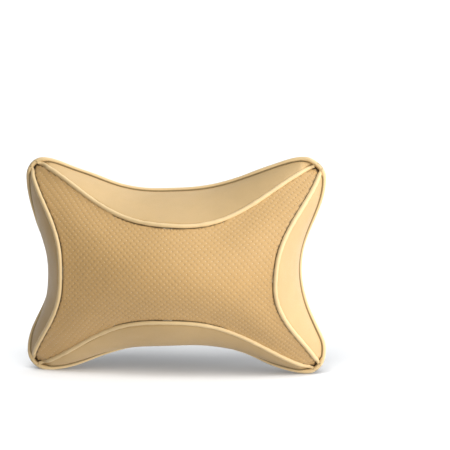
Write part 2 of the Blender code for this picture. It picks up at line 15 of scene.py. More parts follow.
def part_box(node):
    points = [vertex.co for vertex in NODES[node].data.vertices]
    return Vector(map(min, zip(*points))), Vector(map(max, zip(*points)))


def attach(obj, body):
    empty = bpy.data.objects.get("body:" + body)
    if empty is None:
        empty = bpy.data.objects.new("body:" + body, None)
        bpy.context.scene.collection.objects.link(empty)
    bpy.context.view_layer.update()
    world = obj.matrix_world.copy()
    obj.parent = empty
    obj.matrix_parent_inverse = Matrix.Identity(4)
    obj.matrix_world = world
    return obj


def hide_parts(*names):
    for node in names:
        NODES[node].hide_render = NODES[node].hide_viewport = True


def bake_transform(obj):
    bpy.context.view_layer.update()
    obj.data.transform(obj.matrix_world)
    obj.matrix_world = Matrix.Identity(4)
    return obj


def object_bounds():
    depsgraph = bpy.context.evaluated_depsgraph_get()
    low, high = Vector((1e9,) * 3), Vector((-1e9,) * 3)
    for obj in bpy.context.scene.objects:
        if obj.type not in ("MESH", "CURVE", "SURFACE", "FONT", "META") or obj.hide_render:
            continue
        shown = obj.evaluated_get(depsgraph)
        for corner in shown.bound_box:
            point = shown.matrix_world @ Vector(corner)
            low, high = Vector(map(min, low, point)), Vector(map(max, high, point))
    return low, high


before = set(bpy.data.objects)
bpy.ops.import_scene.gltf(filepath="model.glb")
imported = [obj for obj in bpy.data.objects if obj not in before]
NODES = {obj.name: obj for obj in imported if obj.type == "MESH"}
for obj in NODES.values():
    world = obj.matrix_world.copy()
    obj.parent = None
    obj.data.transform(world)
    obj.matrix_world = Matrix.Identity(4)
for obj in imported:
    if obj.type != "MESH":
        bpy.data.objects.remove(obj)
CAD_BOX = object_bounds()

QUARTER = math.pi / 2

# The rim: its size is read from its piping, its waist and its corners are the CAD's
RIM_LOW, RIM_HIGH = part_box("piping_rim")
ORIGIN = (RIM_LOW + RIM_HIGH) / 2
PIPING_RADIUS = (RIM_HIGH.y - RIM_LOW.y) / 2
HALF_WIDTH = (RIM_HIGH.x - RIM_LOW.x) / 2 - PIPING_RADIUS
HALF_HEIGHT = (RIM_HIGH.z - RIM_LOW.z) / 2 - PIPING_RADIUS
CORNER_RADIUS = 0.0162
CORNER_X = HALF_WIDTH - CORNER_RADIUS
CORNER_Z = HALF_HEIGHT - CORNER_RADIUS
WAIST_HALF_WIDTH = 0.1163
WAIST_HALF_HEIGHT = 0.0705
TOP_DIP_SHARPNESS = 1.37
SIDE_DIP_SHARPNESS = 1.0

# The face panel, inside its four pipings
FACE_TIP_HALF_WIDTH = 0.136
FACE_TIP_HALF_HEIGHT = 0.096
FACE_WAIST_HALF_WIDTH = 0.0987
FACE_WAIST_HALF_HEIGHT = 0.0445
FACE_TOP_SHARPNESS = 1.33
FACE_SIDE_SHARPNESS = 1.24
FACE_DIP_REACH = 0.93
FACE_DEPTH = 0.066
FACE_DEPTH_POWER = 1.25
FACE_CROWN_LOSS = 2 / 3
FACE_SHARE = 0.8

# How the hand-sewn cover is a little uneven: place along the edge, spread and outward height
RIM_UNEVEN = {
    "top": (
        (-0.061, 0.045, -0.0024),
        (-0.099, 0.019, -0.0026),
        (0.061, 0.045, 0.0024),
        (0.118, 0.016, 0.0016),
    ),
    "bottom": (
        (-0.025, 0.036, 0.0028),
        (-0.082, 0.030, 0.0013),
        (0.067, 0.018, -0.0012),
        (0.105, 0.022, -0.0008),
    ),
    "left": ((0.056, 0.013, 0.0007), (0.032, 0.019, 0.0031), (-0.037, 0.023, -0.0033)),
    "right": ((0.035, 0.030, -0.0008), (-0.041, 0.024, -0.0025), (-0.072, 0.010, 0.0016)),
}
FACE_TOP_SWAY = 0.0024
FACE_RIGHT_SWAY = 0.0025

# Where the face's tips dive under the rim piping
TIP_START = 0.86
TIP_END = 0.93
TIP_DEPTH = 0.0006
TIP_POWER = 40

GUSSET_BULGE = {"top": 0.0035, "bottom": 0.0100, "left": 0.0065, "right": 0.0045}
OUTWARD = {"top": (0, 0, 1), "bottom": (0, 0, -1), "left": (-1, 0, 0), "right": (1, 0, 0)}

# The back panel: a flat middle that slopes down to the rim
BACK_DEPTH = 0.013
BACK_FLAT_SHARE_X = 0.8
BACK_FLAT_SHARE_Z = 0.67
BACK_EDGE_POWER = 0.75

# The leather, how it dips into the seams, and the shade painted into the seams beside the pipings
LEATHER = 0.0012
COVER_HALF = 0.001
SEAM_DIP = 0.0030
SEAM_DIP_WIDTH = 0.0019
RIM_DIP = 0.0012
RIM_SAG = 0.0015
RIM_SAG_WIDTH = 0.009
# Painted seam shade: where it starts and ends beside a piping, and how dark it is on each panel
SEAM_SHADE_START = 0.0023
SEAM_SHADE_END = 0.0031
FACE_SEAM_SHADE = 0.9
RIM_SEAM_SHADE = 0.8
GUSSET_SEAM_SHADE = 0.4
BACK_SEAM_SHADE = 0.55
BACK_RIM_DIP = 0.0022


# ---- the cover's surfaces


def stacked(x, y, z):
    return np.stack(np.broadcast_arrays(x, y, z), axis=-1).astype(float)


def length_of(vectors):
    return np.linalg.norm(vectors, axis=-1)


def unit(vectors):
    return vectors / np.maximum(length_of(vectors), 1e-12)[..., None]


def ramp(t, sharpness, reach=1.0):
    """Rises from 0 in the middle of an edge, t = 0, to 1 at its ends, t = -1 and 1."""
    share = np.minimum(np.abs(t), 1.1) ** sharpness
    return (np.sin(reach * QUARTER * share) / math.sin(reach * QUARTER)) ** 2


def swell(t):
    """Falls from 1 in the middle of the face to 0 at its edge."""
    return np.clip(1 - np.square(t), 0, None) ** FACE_DEPTH_POWER


def plateau(t, flat_share):
    """1 over the flat middle of the back, then a smooth fall to 0 at the rim."""
    outside = np.clip(np.abs(t) - flat_share, 0, None) / (1 - flat_share)
    return np.clip(1 - outside**2, 0, None) ** BACK_EDGE_POWER


def dipped(t, corner_along, corner_across, waist, sharpness):
    """One edge of the rim: how far along it and how far out, ending half way round the corners."""
    travelled = np.abs(t) * (corner_along + CORNER_RADIUS * QUARTER / 2)
    angle = np.clip(travelled - corner_along, 0, None) / CORNER_RADIUS
    full = corner_across + CORNER_RADIUS - waist
    out = waist + full * ramp(np.minimum(travelled / corner_along, 1), sharpness)
    along = np.minimum(travelled, corner_along) + CORNER_RADIUS * np.sin(angle)
    return np.sign(t) * along, out - CORNER_RADIUS * (1 - np.cos(angle))


def smooth(share):
    """0 up to a share of 0, 1 from a share of 1 and an even step between them."""
    share = np.clip(share, 0, 1)
    return share * share * (3 - 2 * share)


def uneven(edge, place, corner):
    """How far the named edge of the rim strays outward, nothing half way round its corners."""
    total = sum(rise * np.exp(-(((place - middle) / spread) ** 2)) for middle, spread, rise in RIM_UNEVEN[edge])
    return total * (1 - smooth((np.abs(place) - corner) / (CORNER_RADIUS * math.sin(QUARTER / 2))))


def rim(edge, t):
    """A point of the sewn rim: t runs from -1 to 1 along the named edge."""
    t = np.asarray(t, float)
    side = 1 if edge in ("top", "right") else -1
    if edge in ("top", "bottom"):
        x, z = dipped(t, CORNER_X, CORNER_Z, WAIST_HALF_HEIGHT, TOP_DIP_SHARPNESS)
        return stacked(x, 0.0, side * (z + uneven(edge, x, CORNER_X)))
    z, x = dipped(t, CORNER_Z, CORNER_X, WAIST_HALF_WIDTH, SIDE_DIP_SHARPNESS)
    return stacked(side * (x + uneven(edge, z, CORNER_Z)), 0.0, z)


def face_reach(u, v):
    """Half the face panel's width at v, and half its height at u."""
    dip_x = ramp(v, FACE_SIDE_SHARPNESS, FACE_DIP_REACH)
    dip_z = ramp(u, FACE_TOP_SHARPNESS, FACE_DIP_REACH)
    wide = FACE_WAIST_HALF_WIDTH + (FACE_TIP_HALF_WIDTH - FACE_WAIST_HALF_WIDTH) * dip_x
    high = FACE_WAIST_HALF_HEIGHT + (FACE_TIP_HALF_HEIGHT - FACE_WAIST_HALF_HEIGHT) * dip_z
    return wide, high


def face_depth(u, v):
    across, up = swell(u), swell(v)
    depth = FACE_DEPTH * (across + up - FACE_CROWN_LOSS * across * up)
    tip = smooth((np.abs(u * v) - TIP_START) / (TIP_END - TIP_START))
    return depth + (TIP_DEPTH - depth) * tip


def face(u, v):
    """The face panel, u across and v up, each from -1 to 1."""
    wide, high = face_reach(u, v)
    x = u * wide + FACE_RIGHT_SWAY * np.sin(math.pi * v) * np.clip(u, 0, None) ** 2
    z = v * high - FACE_TOP_SWAY * np.sin(math.pi * u) * np.clip(v, 0, None) ** 2
    return stacked(x, -face_depth(u, v), z)


def face_edge(edge, t):
    """A point of the face panel's edge."""
    t = np.asarray(t, float)
    whole = np.ones_like(t)
    place = {"top": (t, whole), "bottom": (t, -whole), "right": (whole, t), "left": (-whole, t)}
    return face(*place[edge])


def gusset(edge, t, s):
    """The side strip of the named edge, s from 0 at the rim to 1 at the face."""
    outward = np.array(OUTWARD[edge], float)
    rear = rim(edge, t)
    chord = face_edge(edge, t) - rear
    widest = length_of(face_edge(edge, 0.0) - rim(edge, 0.0))
    proud = unit(outward * -chord[..., 1:2] + np.array((0, 1, 0)) * (chord @ outward)[..., None])
    height = GUSSET_BULGE[edge] * (length_of(chord) / widest) ** 2 * 4 * s * (1 - s)
    return rear + chord * np.asarray(s)[..., None] + proud * height[..., None]


def back(u, v):
    """The back panel, u across and v up, with its edge on the rim."""
    upper, lower = rim("top", u), rim("bottom", u)
    right, left = rim("right", v), rim("left", v)
    corner_x, corner_z = CORNER_X + CORNER_RADIUS * math.sin(QUARTER / 2), rim("top", 1.0)[2]
    side = np.where(u > 0, right[..., 0], -left[..., 0])
    end = np.where(v > 0, upper[..., 2], -lower[..., 2])
    x = upper[..., 0] + u * (side - corner_x)
    z = right[..., 2] + v * (end - corner_z)
    depth = plateau(u, BACK_FLAT_SHARE_X) * plateau(v, BACK_FLAT_SHARE_Z)
    return stacked(x, BACK_DEPTH * depth, z)


def front(a, b):
    """The whole front half, face and gussets, for a and b from -1 to 1."""
    reach = np.maximum(np.maximum(np.abs(a), np.abs(b)), 1e-9)
    inner = np.clip(a / FACE_SHARE, -1, 1), np.clip(b / FACE_SHARE, -1, 1)
    points = face(*inner)
    s = np.clip((1 - reach) / (1 - FACE_SHARE), 0, 1)
    level = np.abs(b) >= np.abs(a)
    upper, rightward = b > 0, a > 0
    areas = (level & upper, level & ~upper, ~level & rightward, ~level & ~rightward)
    for edge, area in zip(("top", "bottom", "right", "left"), areas):
        along = a if edge in ("top", "bottom") else b
        chosen = area & (reach > FACE_SHARE + 1e-6)
        points[chosen] = gusset(edge, (along / reach)[chosen], s[chosen])
    return points


# ---- the puffed surface

SHELL_COLUMNS = 50
SHELL_ROWS = 40
SHELL_FRAMES = 20
PRESSURE = 4.0
SLACK = 0.02
EASING_ROUNDS = 70
PUFF_LIMIT = 0.0014
STIFFNESS = 2.0
TIP_SHARE = 0.74


def shell_grid():
    return np.meshgrid(np.linspace(-1, 1, SHELL_COLUMNS + 1), np.linspace(-1, 1, SHELL_ROWS + 1))


def shell_indices():
    """Vertex numbers of the shell's two halves, which share their border."""
    rows, columns = SHELL_ROWS + 1, SHELL_COLUMNS + 1
    near = np.arange(rows * columns).reshape(rows, columns)
    far = near.copy()
    inner = (rows - 2) * (columns - 2)
    far[1:-1, 1:-1] = rows * columns + np.arange(inner).reshape(rows - 2, columns - 2)
    return near, far


def quads(numbers, turned=False):
    """The faces of a grid of vertex numbers."""
    corners = [numbers[:-1, :-1], numbers[:-1, 1:], numbers[1:, 1:], numbers[1:, :-1]]
    faces = np.stack([c.ravel() for c in corners], axis=1)
    return faces[:, ::-1] if turned else faces


def new_mesh(name, points, faces):
    mesh = bpy.data.meshes.new(name)
    world = np.asarray(points, float).reshape(-1, 3) + np.array(ORIGIN)
    mesh.from_pydata(world.tolist(), [], [list(map(int, f)) for f in faces])
    mesh.validate()
    return mesh


def simulate_puff():
    """How far the stuffing pushes the cover out between its seams, front and back, on the shell's grid."""
    a, b = shell_grid()
    near, far = shell_indices()
    halves = front(a, b), back(a, b)
    points = np.concatenate([halves[0].reshape(-1, 3), halves[1][1:-1, 1:-1].reshape(-1, 3)])
    faces = np.concatenate([quads(near), quads(far, turned=True)])
    shell = bpy.data.objects.new("cover_shell", new_mesh("cover_shell", points, faces))
    bpy.context.scene.collection.objects.link(shell)
    reach = np.maximum(np.abs(a), np.abs(b))
    tips = (np.abs(a) > TIP_SHARE) & (np.abs(b) > TIP_SHARE)
    held = np.isclose(reach, FACE_SHARE) | np.isclose(reach, 1) | tips
    held_far = np.isclose(reach, 1) | tips
    group = shell.vertex_groups.new(name="seams")
    group.add(sorted({*near[held].tolist(), *far[held_far].tolist()}), 1.0, "REPLACE")
    cloth = shell.modifiers.new("cover", "CLOTH")
    cloth.settings.vertex_group_mass = "seams"
    cloth.settings.use_pressure = True
    cloth.settings.uniform_pressure_force = PRESSURE
    cloth.settings.shrink_min = -SLACK
    cloth.settings.bending_stiffness = STIFFNESS
    cloth.settings.effector_weights.gravity = 0
    cloth.point_cache.frame_start, cloth.point_cache.frame_end = 1, SHELL_FRAMES
    for step in range(1, SHELL_FRAMES + 1):
        bpy.context.scene.frame_set(step)
    puffed = shell.evaluated_get(bpy.context.evaluated_depsgraph_get()).data
    moved = np.empty(len(puffed.vertices) * 3)
    puffed.vertices.foreach_get("co", moved)
    moved = moved.reshape(-1, 3) - np.array(ORIGIN) - points
    bpy.data.objects.remove(shell)
    bpy.context.scene.frame_set(1)
    size = np.maximum(length_of(moved), 1e-9)[:, None]
    moved *= PUFF_LIMIT * np.tanh(size / PUFF_LIMIT) / size
    return eased(moved[near], ~held), eased(moved[far], ~held_far)


def eased(field, free):
    """The field with its small wrinkles evened out, still nothing at the seams."""
    for _ in range(EASING_ROUNDS):
        padded = np.pad(field, ((1, 1), (1, 1), (0, 0)), mode="edge")
        around = padded[:-2, 1:-1] + padded[2:, 1:-1] + padded[1:-1, :-2] + padded[1:-1, 2:]
        field = np.where(free[..., None], field / 2 + around / 8, 0.0)
    return field


PUFF_FRONT, PUFF_BACK = simulate_puff()


def cubic_weights(share):
    """Catmull-Rom weights of the four grid lines round a place."""
    return (
        ((2 - share) * share - 1) * share / 2,
        ((3 * share - 5) * share * share + 2) / 2,
        ((4 - 3 * share) * share + 1) * share / 2,
        (share - 1) * share * share / 2,
    )


def sampled(field, a, b):
    """The shell's field at any a and b, smoothly between its grid points."""
    rows, columns = field.shape[:2]
    x = np.clip((np.asarray(a) + 1) / 2, 0, 1) * (columns - 1)
    y = np.clip((np.asarray(b) + 1) / 2, 0, 1) * (rows - 1)
    column, row = np.floor(x).astype(int), np.floor(y).astype(int)
    total = 0.0
    for i, wide in enumerate(cubic_weights(x - column)):
        for j, high in enumerate(cubic_weights(y - row)):
            c = np.clip(column + i - 1, 0, columns - 1)
            r = np.clip(row + j - 1, 0, rows - 1)
            total = total + field[r, c] * (wide * high)[..., None]
    return total


def puffed_face(u, v):
    return face(u, v) + sampled(PUFF_FRONT, u * FACE_SHARE, v * FACE_SHARE)


def puffed_gusset(edge, t, s):
    reach = 1 - (1 - FACE_SHARE) * s
    side = 1 if edge in ("top", "right") else -1
    along, out = t * reach, side * reach
    a, b = (along, out) if edge in ("top", "bottom") else (out, along)
    return gusset(edge, t, s) + sampled(PUFF_FRONT, a, b)


def raised(surface, p, q, height, flip=1.0):
    """Points of a surface moved along its normal by `height`."""
    step = 1e-3
    across = surface(np.clip(p + step, -1, 1), q) - surface(np.clip(p - step, -1, 1), q)
    up = surface(p, np.clip(q + step, -1, 1)) - surface(p, np.clip(q - step, -1, 1))
    return surface(p, q) + unit(np.cross(across, up) * flip) * np.asarray(height)[..., None]


def seam_height(distance, dip=SEAM_DIP):
    """The leather's outer face over the CAD cover's middle: it dips where it meets a piping."""
    return COVER_HALF - dip * np.exp(-((distance / SEAM_DIP_WIDTH) ** 2))


def painted_seam_shade(distance):
    """Painted shade: 1 in the seam beside a piping, where the crease lies in shadow, 0 on the open leather."""
    return smooth((SEAM_SHADE_END - distance) / (SEAM_SHADE_END - SEAM_SHADE_START))


# ---- materials


def scaled(colour, factor, tint=(1.0, 1.0, 1.0)):
    return tuple(part * share * factor for part, share in zip(colour, tint))


def set_inputs(node, **values):
    for key, value in values.items():
        node.inputs[key.replace("_", " ")].default_value = value


class Shader:
    """A node material built step by step."""

    def __init__(self, name):
        self.material = bpy.data.materials.new(name)
        self.material.use_nodes = True
        self.tree = self.material.node_tree
        self.surface = self.tree.nodes["Principled BSDF"]

    def add(self, kind, **settings):
        node = self.tree.nodes.new(kind)
        for key, value in settings.items():
            setattr(node, key, value)
        return node

    def link(self, source, target):
        self.tree.links.new(source, target)

    def set(self, **values):
        set_inputs(self.surface, **values)

    def attribute(self, name):
        return self.add("ShaderNodeAttribute", attribute_name=name).outputs["Fac"]

    def texture(self, node, output, **values):
        """A texture's output over the piece's own places, its inputs set to values."""
        set_inputs(node, **values)
        self.link(self.add("ShaderNodeTexCoord").outputs["Object"], node.inputs["Vector"])
        return node.outputs[output]

    def noise(self, scale, detail, roughness=0.5):
        node = self.add("ShaderNodeTexNoise")
        return self.texture(node, "Fac", Scale=scale, Detail=detail, Roughness=roughness)

    def cells(self, scale):
        node = self.add("ShaderNodeTexVoronoi", feature="DISTANCE_TO_EDGE")
        return self.texture(node, "Distance", Scale=scale)

    def wave(self, scale, direction):
        node = self.add("ShaderNodeTexWave", bands_direction=direction)
        return self.texture(node, "Fac", Scale=scale)

    def steps(self, source, low, high, start=0.0, end=1.0):
        """Carries source from the span low to high over to the span start to end."""
        node = self.add("ShaderNodeMapRange", interpolation_type="SMOOTHSTEP")
        set_inputs(node, From_Min=low, From_Max=high, To_Min=start, To_Max=end)
        self.link(source, node.inputs["Value"])
        return node.outputs["Result"]

    def product(self, first, second):
        node = self.add("ShaderNodeMath", operation="MULTIPLY")
        self.link(first, node.inputs[0])
        self.link(second, node.inputs[1])
        return node.outputs["Value"]

    def mix(self, share, first, second):
        """A colour between two, by share."""
        node = self.add("ShaderNodeMix", data_type="RGBA")
        self.link(share, node.inputs["Factor"])
        for value, socket in ((first, node.inputs["A"]), (second, node.inputs["B"])):
            if isinstance(value, tuple):
                socket.default_value = (*value, 1.0)
            else:
                self.link(value, socket)
        return node.outputs["Result"]

    def mottled(self, pattern, low, high, colour, dark, light):
        """A colour, darker where a pattern is low and lighter where it is high."""
        return self.mix(self.steps(pattern, low, high), scaled(colour, dark), scaled(colour, light))

    def bump(self, height, distance, strength, under=None):
        node = self.add("ShaderNodeBump")
        set_inputs(node, Distance=distance, Strength=strength)
        self.link(height, node.inputs["Height"])
        if under:
            self.link(under, node.inputs["Normal"])
        return node.outputs["Normal"]

    def wear(self, colour, normal=None, roughness=None):
        """Ends the material: its colour, and the normal and roughness it was given."""
        self.link(colour, self.surface.inputs["Base Color"])
        if normal:
            self.link(normal, self.surface.inputs["Normal"])
        if roughness:
            self.link(roughness, self.surface.inputs["Roughness"])
        return self.material


GRAIN_SCALE = 900
PORE_SCALE = 2600
CREASE_SCALE = 260
# Painted shade in the seams: the share of the leather's colour left at its darkest, and its brown tint
SEAM_SHADOW_COLOUR_SHARE = 0.07
SEAM_SHADOW_TINT = (1.0, 0.86, 0.72)


def leather_material(name, colour, roughness, creases=0.0):
    """Coated leather: fine grain, slight mottling, and painted shade in the seams beside the pipings."""
    shader = Shader(name)
    shader.set(Specular_IOR_Level=0.42, Coat_Weight=0.06, Coat_Roughness=0.35)
    shader.set(Sheen_Weight=0.05, Sheen_Roughness=0.5)
    tone = shader.mottled(shader.noise(60, 3), 0.3, 0.7, colour, 0.975, 1.015)
    grain = shader.cells(GRAIN_SCALE)
    tone = shader.mix(shader.steps(grain, 0.0, 0.12, 0.10, 0.0), tone, scaled(colour, 0.6))
    # Painted shade: the colour goes to a dark brown where the seam attribute marks a crease beside a piping, as
    # if in shadow
    tone = shader.mix(shader.attribute("seam"), tone, scaled(colour, SEAM_SHADOW_COLOUR_SHARE, SEAM_SHADOW_TINT))
    normal = shader.bump(shader.steps(grain, 0.0, 0.25), 0.00012, 0.5)
    normal = shader.bump(shader.noise(PORE_SCALE, 2), 0.00006, 0.35, normal)
    if creases:
        normal = shader.bump(shader.noise(CREASE_SCALE, 3, 0.6), creases, 0.8, normal)
    gloss = shader.steps(shader.noise(70, 3), 0.3, 0.7, roughness - 0.05, roughness + 0.06)
    return shader.wear(tone, normal, gloss)


def weave_material(name, colour, pitch, roughness=0.85):
    """Woven textile: two crossed sets of threads, a little uneven in colour."""
    shader = Shader(name)
    shader.set(Specular_IOR_Level=0.25, Sheen_Weight=0.3, Sheen_Roughness=0.4)
    scale = 1 / pitch
    across, up = shader.wave(scale / 3.1, "X"), shader.wave(scale / 3.1, "Z")
    threads = shader.product(across, up)
    tone = shader.mottled(shader.noise(220, 3), 0.3, 0.7, colour, 0.85, 1.15)
    tone = shader.mix(shader.steps(threads, 0.0, 0.5, 0.45, 0.0), tone, scaled(colour, 0.5))
    normal = shader.bump(threads, pitch / 5, 0.6)
    gloss = shader.steps(shader.noise(400, 2), 0.3, 0.7, roughness - 0.08, roughness + 0.08)
    return shader.wear(tone, normal, gloss)


def fibre_material(name, colour):
    """Loose fibre: fine tangled strands."""
    shader = Shader(name)
    shader.set(Specular_IOR_Level=0.2, Sheen_Weight=0.4, Sheen_Roughness=0.6)
    strands = shader.noise(650, 5, 0.7)
    tone = shader.mottled(strands, 0.35, 0.65, colour, 0.8, 1.0)
    normal = shader.bump(strands, 0.0008, 0.8)
    return shader.wear(tone, normal, shader.steps(strands, 0.2, 0.8, 0.85, 1.0))


def plastic_material(name, colour, roughness):
    """Moulded plastic with a fine spark-eroded skin."""
    shader = Shader(name)
    shader.set(Specular_IOR_Level=0.5)
    skin = shader.noise(3200, 2)
    tone = shader.mottled(shader.noise(60, 2), 0.35, 0.65, colour, 0.85, 1.15)
    normal = shader.bump(skin, 0.00005, 0.4)
    return shader.wear(tone, normal, shader.steps(skin, 0.3, 0.7, roughness - 0.06, roughness + 0.08))


def metal_material(name, colour, roughness):
    """Antique-finished zip metal, brighter where it is rubbed."""
    shader = Shader(name)
    shader.set(Metallic=1.0)
    cast = shader.noise(900, 3)
    tone = shader.mottled(shader.noise(260, 3), 0.45, 0.7, colour, 0.6, 1.25)
    normal = shader.bump(cast, 0.00004, 0.5)
    return shader.wear(tone, normal, shader.steps(cast, 0.3, 0.7, roughness - 0.08, roughness + 0.12))


FACE_COLOUR = (0.638, 0.391, 0.150)
GUSSET_COLOUR = (0.645, 0.430, 0.190)
PIPING_COLOUR = (0.84, 0.61, 0.31)
THREAD_COLOUR = (0.62, 0.44, 0.22)

FACE_LEATHER = leather_material("face_leather", FACE_COLOUR, 0.46)
GUSSET_LEATHER = leather_material("gusset_leather", GUSSET_COLOUR, 0.50, creases=0.00010)
BACK_LEATHER = leather_material("back_leather", GUSSET_COLOUR, 0.45, creases=0.00012)
PIPING_LEATHER = leather_material("piping_leather", PIPING_COLOUR, 0.38, creases=0.00006)
FOAM = fibre_material("foam_backing", (0.95, 0.80, 0.54))
LINING = weave_material("lining_cloth", (0.82, 0.80, 0.74), 0.0006)
FIBRE = fibre_material("filling_fibre", (0.92, 0.92, 0.90))
THREAD = weave_material("sewing_thread", THREAD_COLOUR, 0.0004, 0.6)
WEBBING = weave_material("elastic_webbing", (0.17, 0.105, 0.055), 0.0007)
TAPE = weave_material("zip_tape", (0.50, 0.36, 0.19), 0.0006)
NYLON = plastic_material("zip_nylon", (0.46, 0.32, 0.16), 0.42)
PLASTIC = plastic_material("slider_plastic", (0.055, 0.04, 0.032), 0.36)
METAL = metal_material("zip_metal", (0.50, 0.38, 0.21), 0.32)


# ---- making pieces


def add_piece(name, mesh, material, slot, body="cover", stands_for=(), sharp=40):
    """A finished piece that rides on a CAD body and takes the place of CAD nodes."""
    mesh.materials.append(material)
    mesh.shade_smooth()
    mesh.set_sharp_from_angle(angle=math.radians(sharp))
    piece = bpy.data.objects.new(name, mesh)
    bpy.context.scene.collection.objects.link(piece)
    if body:
        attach(piece, body)
    if stands_for:
        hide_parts(*stands_for)
    return piece


def add_painted_shade(mesh, values):
    """Stores the painted shade of each vertex, 1 deep in a seam beside a piping, for the leather's colour."""
    layer = mesh.attributes.new("seam", "FLOAT", "POINT")
    layer.data.foreach_set("value", np.asarray(values, np.float32).ravel())


def thicken(piece):
    """Gives a sheet the leather's thickness, to its inner side."""
    modifier = piece.modifiers.new("thickness", "SOLIDIFY")
    modifier.thickness = LEATHER
    modifier.offset = -1.0
    return piece


def add_sheet(name, points, shade, material, slot, turned=False, stands_for=()):
    """A sheet from a grid of points, made as thick as the leather."""
    rows, columns = points.shape[:2]
    numbers = np.arange(rows * columns).reshape(rows, columns)
    mesh = new_mesh(name, points, quads(numbers, turned))
    add_painted_shade(mesh, shade)
    return thicken(add_piece(name, mesh, material, slot, stands_for=stands_for))


def sweep(name, centres, offsets, closed=False, shade=None):
    """A mesh that carries a closed section along a line: centres (n, 3) and offsets (n, k, 3)."""
    count, around = offsets.shape[:2]
    points = centres[:, None, :] + offsets
    numbers = np.arange(count * around).reshape(count, around)
    numbers = np.concatenate([numbers, numbers[:, :1]], axis=1)
    if closed:
        numbers = np.concatenate([numbers, numbers[:1]], axis=0)
    faces = quads(numbers).tolist()
    if not closed:
        faces.append(numbers[0, :-1].tolist())
        faces.append(numbers[-1, :-1][::-1].tolist())
    mesh = new_mesh(name, points, faces)
    if shade is not None:
        add_painted_shade(mesh, shade)
    return mesh


def directions(centres, closed=False):
    """Unit tangents of a line of points."""
    if closed:
        along = np.roll(centres, -1, axis=0) - np.roll(centres, 1, axis=0)
    else:
        along = np.gradient(centres, axis=0)
    return unit(along)


def travelled(centres):
    """Distance along a line at each of its points."""
    return np.concatenate([[0.0], np.cumsum(length_of(np.diff(centres, axis=0)))])


def respaced(centres, spacing, closed=False):
    """The same line with evenly spaced points."""
    if closed:
        centres = np.concatenate([centres, centres[:1]])
    distance = travelled(centres)
    count = max(4, int(round(distance[-1] / spacing)))
    places = np.linspace(0, distance[-1], count + 1)
    if closed:
        places = places[:-1]
    return np.stack([np.interp(places, distance, centres[:, k]) for k in range(3)], axis=1)


def circles(first, second, sides):
    """Circles of radius 1, each in the plane of its two directions."""
    angle = np.linspace(0, 2 * math.pi, sides, endpoint=False)[:, None]
    return first[..., None, :] * np.cos(angle) + second[..., None, :] * np.sin(angle)


def round_section(centres, radii, sides, closed=False, up=(0.0, 1.0, 0.0)):
    """Rings round a line, with no twist, as offsets from its points."""
    along = directions(centres, closed)
    first = unit(np.cross(along, np.array(up, float)))
    return circles(first, np.cross(along, first), sides) * np.asarray(radii).reshape(-1, 1, 1)


# ---- the cover's smooth panels

GUSSET_REACH = 0.95
GUSSET_COLUMNS = {"top": 220, "bottom": 220, "left": 170, "right": 170}
GUSSET_ROWS = 30
BACK_COLUMNS = 180
BACK_ROWS = 90
BACK_ROW_POWER = 1.3
PANEL_MARGIN = 0.0009
PANEL_MARGIN_LIMIT = 0.3


def add_gussets():
    for edge, columns in GUSSET_COLUMNS.items():
        along = np.linspace(-GUSSET_REACH, GUSSET_REACH, columns)
        t, share = np.meshgrid(along, np.linspace(0, 1, GUSSET_ROWS))
        width = length_of(face_edge(edge, t) - rim(edge, t))
        margin = np.minimum(PANEL_MARGIN / width, PANEL_MARGIN_LIMIT)
        s = margin + (1 - 2 * margin) * share
        distance = np.minimum(s, 1 - s) * width
        flip = 1.0 if edge in ("bottom", "right") else -1.0
        by_rim = s < 0.5
        sag = RIM_SAG * np.exp(-((s * width / RIM_SAG_WIDTH) ** 2))
        height = seam_height(distance, np.where(by_rim, RIM_DIP, SEAM_DIP)) - sag
        points = raised(lambda p, q: puffed_gusset(edge, p, q), t, s, height, flip)
        # Painted shade in the gusset's seams, stronger beside the rim piping than beside the face's
        shade = painted_seam_shade(distance) * np.where(by_rim, RIM_SEAM_SHADE, GUSSET_SEAM_SHADE)
        name, node = f"gusset_cover_{edge}", f"gusset_{edge}"
        piece = add_sheet(name, points, shade, GUSSET_LEATHER, "smooth_leather", flip < 0, [node])


# ---- pipings

PIPING_SIDES = 24
PIPING_SPACING = 0.0012
RIM_POINTS = 200
FACE_EDGE_POINTS = 400
FACE_PIPING_REACH = {"top": 0.952, "bottom": 0.952, "left": 0.942, "right": 0.942}
PIPING_TUCK = 0.010
PIPING_TUCKED_SHARE = 0.75
CORD_WOBBLE = 0.00004
WOBBLE_WAVES = (7, 13, 19, 25, 31)
# Painted shade on a cord's side against its panel: where it starts, where it is full and how dark
FACE_CORD_SHADE = (0.60, 0.80, 1.0)
RIM_CORD_SHADE = (0.90, 0.98, 0.6)
PANEL_STEP = 0.06


def painted_cord_shade(centres, offsets, towards, start, end, most):
    """Painted shade: dark on the side of a cord that lies against the panel found `towards` it, where the
    crease lies in shadow, 0 on the rest.
    """
    along = directions(centres)
    side = unit(towards - np.sum(towards * along, axis=1, keepdims=True) * along)
    lean = np.einsum("nkj,nj->nk", offsets, side) / length_of(offsets)
    return smooth((lean - start) / (end - start)) * most


def wobble(count, seed):
    """Small smooth changes of a hand-fed cord's thickness."""
    rng = np.random.default_rng(seed)
    phases = rng.uniform(0, 2 * math.pi, len(WOBBLE_WAVES))
    place = np.linspace(0, 2 * math.pi, count, endpoint=False)
    return sum(np.sin(place * waves + phase) for waves, phase in zip(WOBBLE_WAVES, phases)) * CORD_WOBBLE


def rim_line():
    """The rim piping's middle, once round the pillow from its top left corner, and the way to the gussets."""
    line, inward = [], []
    for edge, turn in (("top", 1), ("right", -1), ("bottom", -1), ("left", 1)):
        t = np.linspace(-turn, turn, RIM_POINTS)[:-1]
        line.append(rim(edge, t))
        inward.append(gusset(edge, t, PANEL_STEP) - rim(edge, t))
    return np.concatenate(line), np.concatenate(inward)


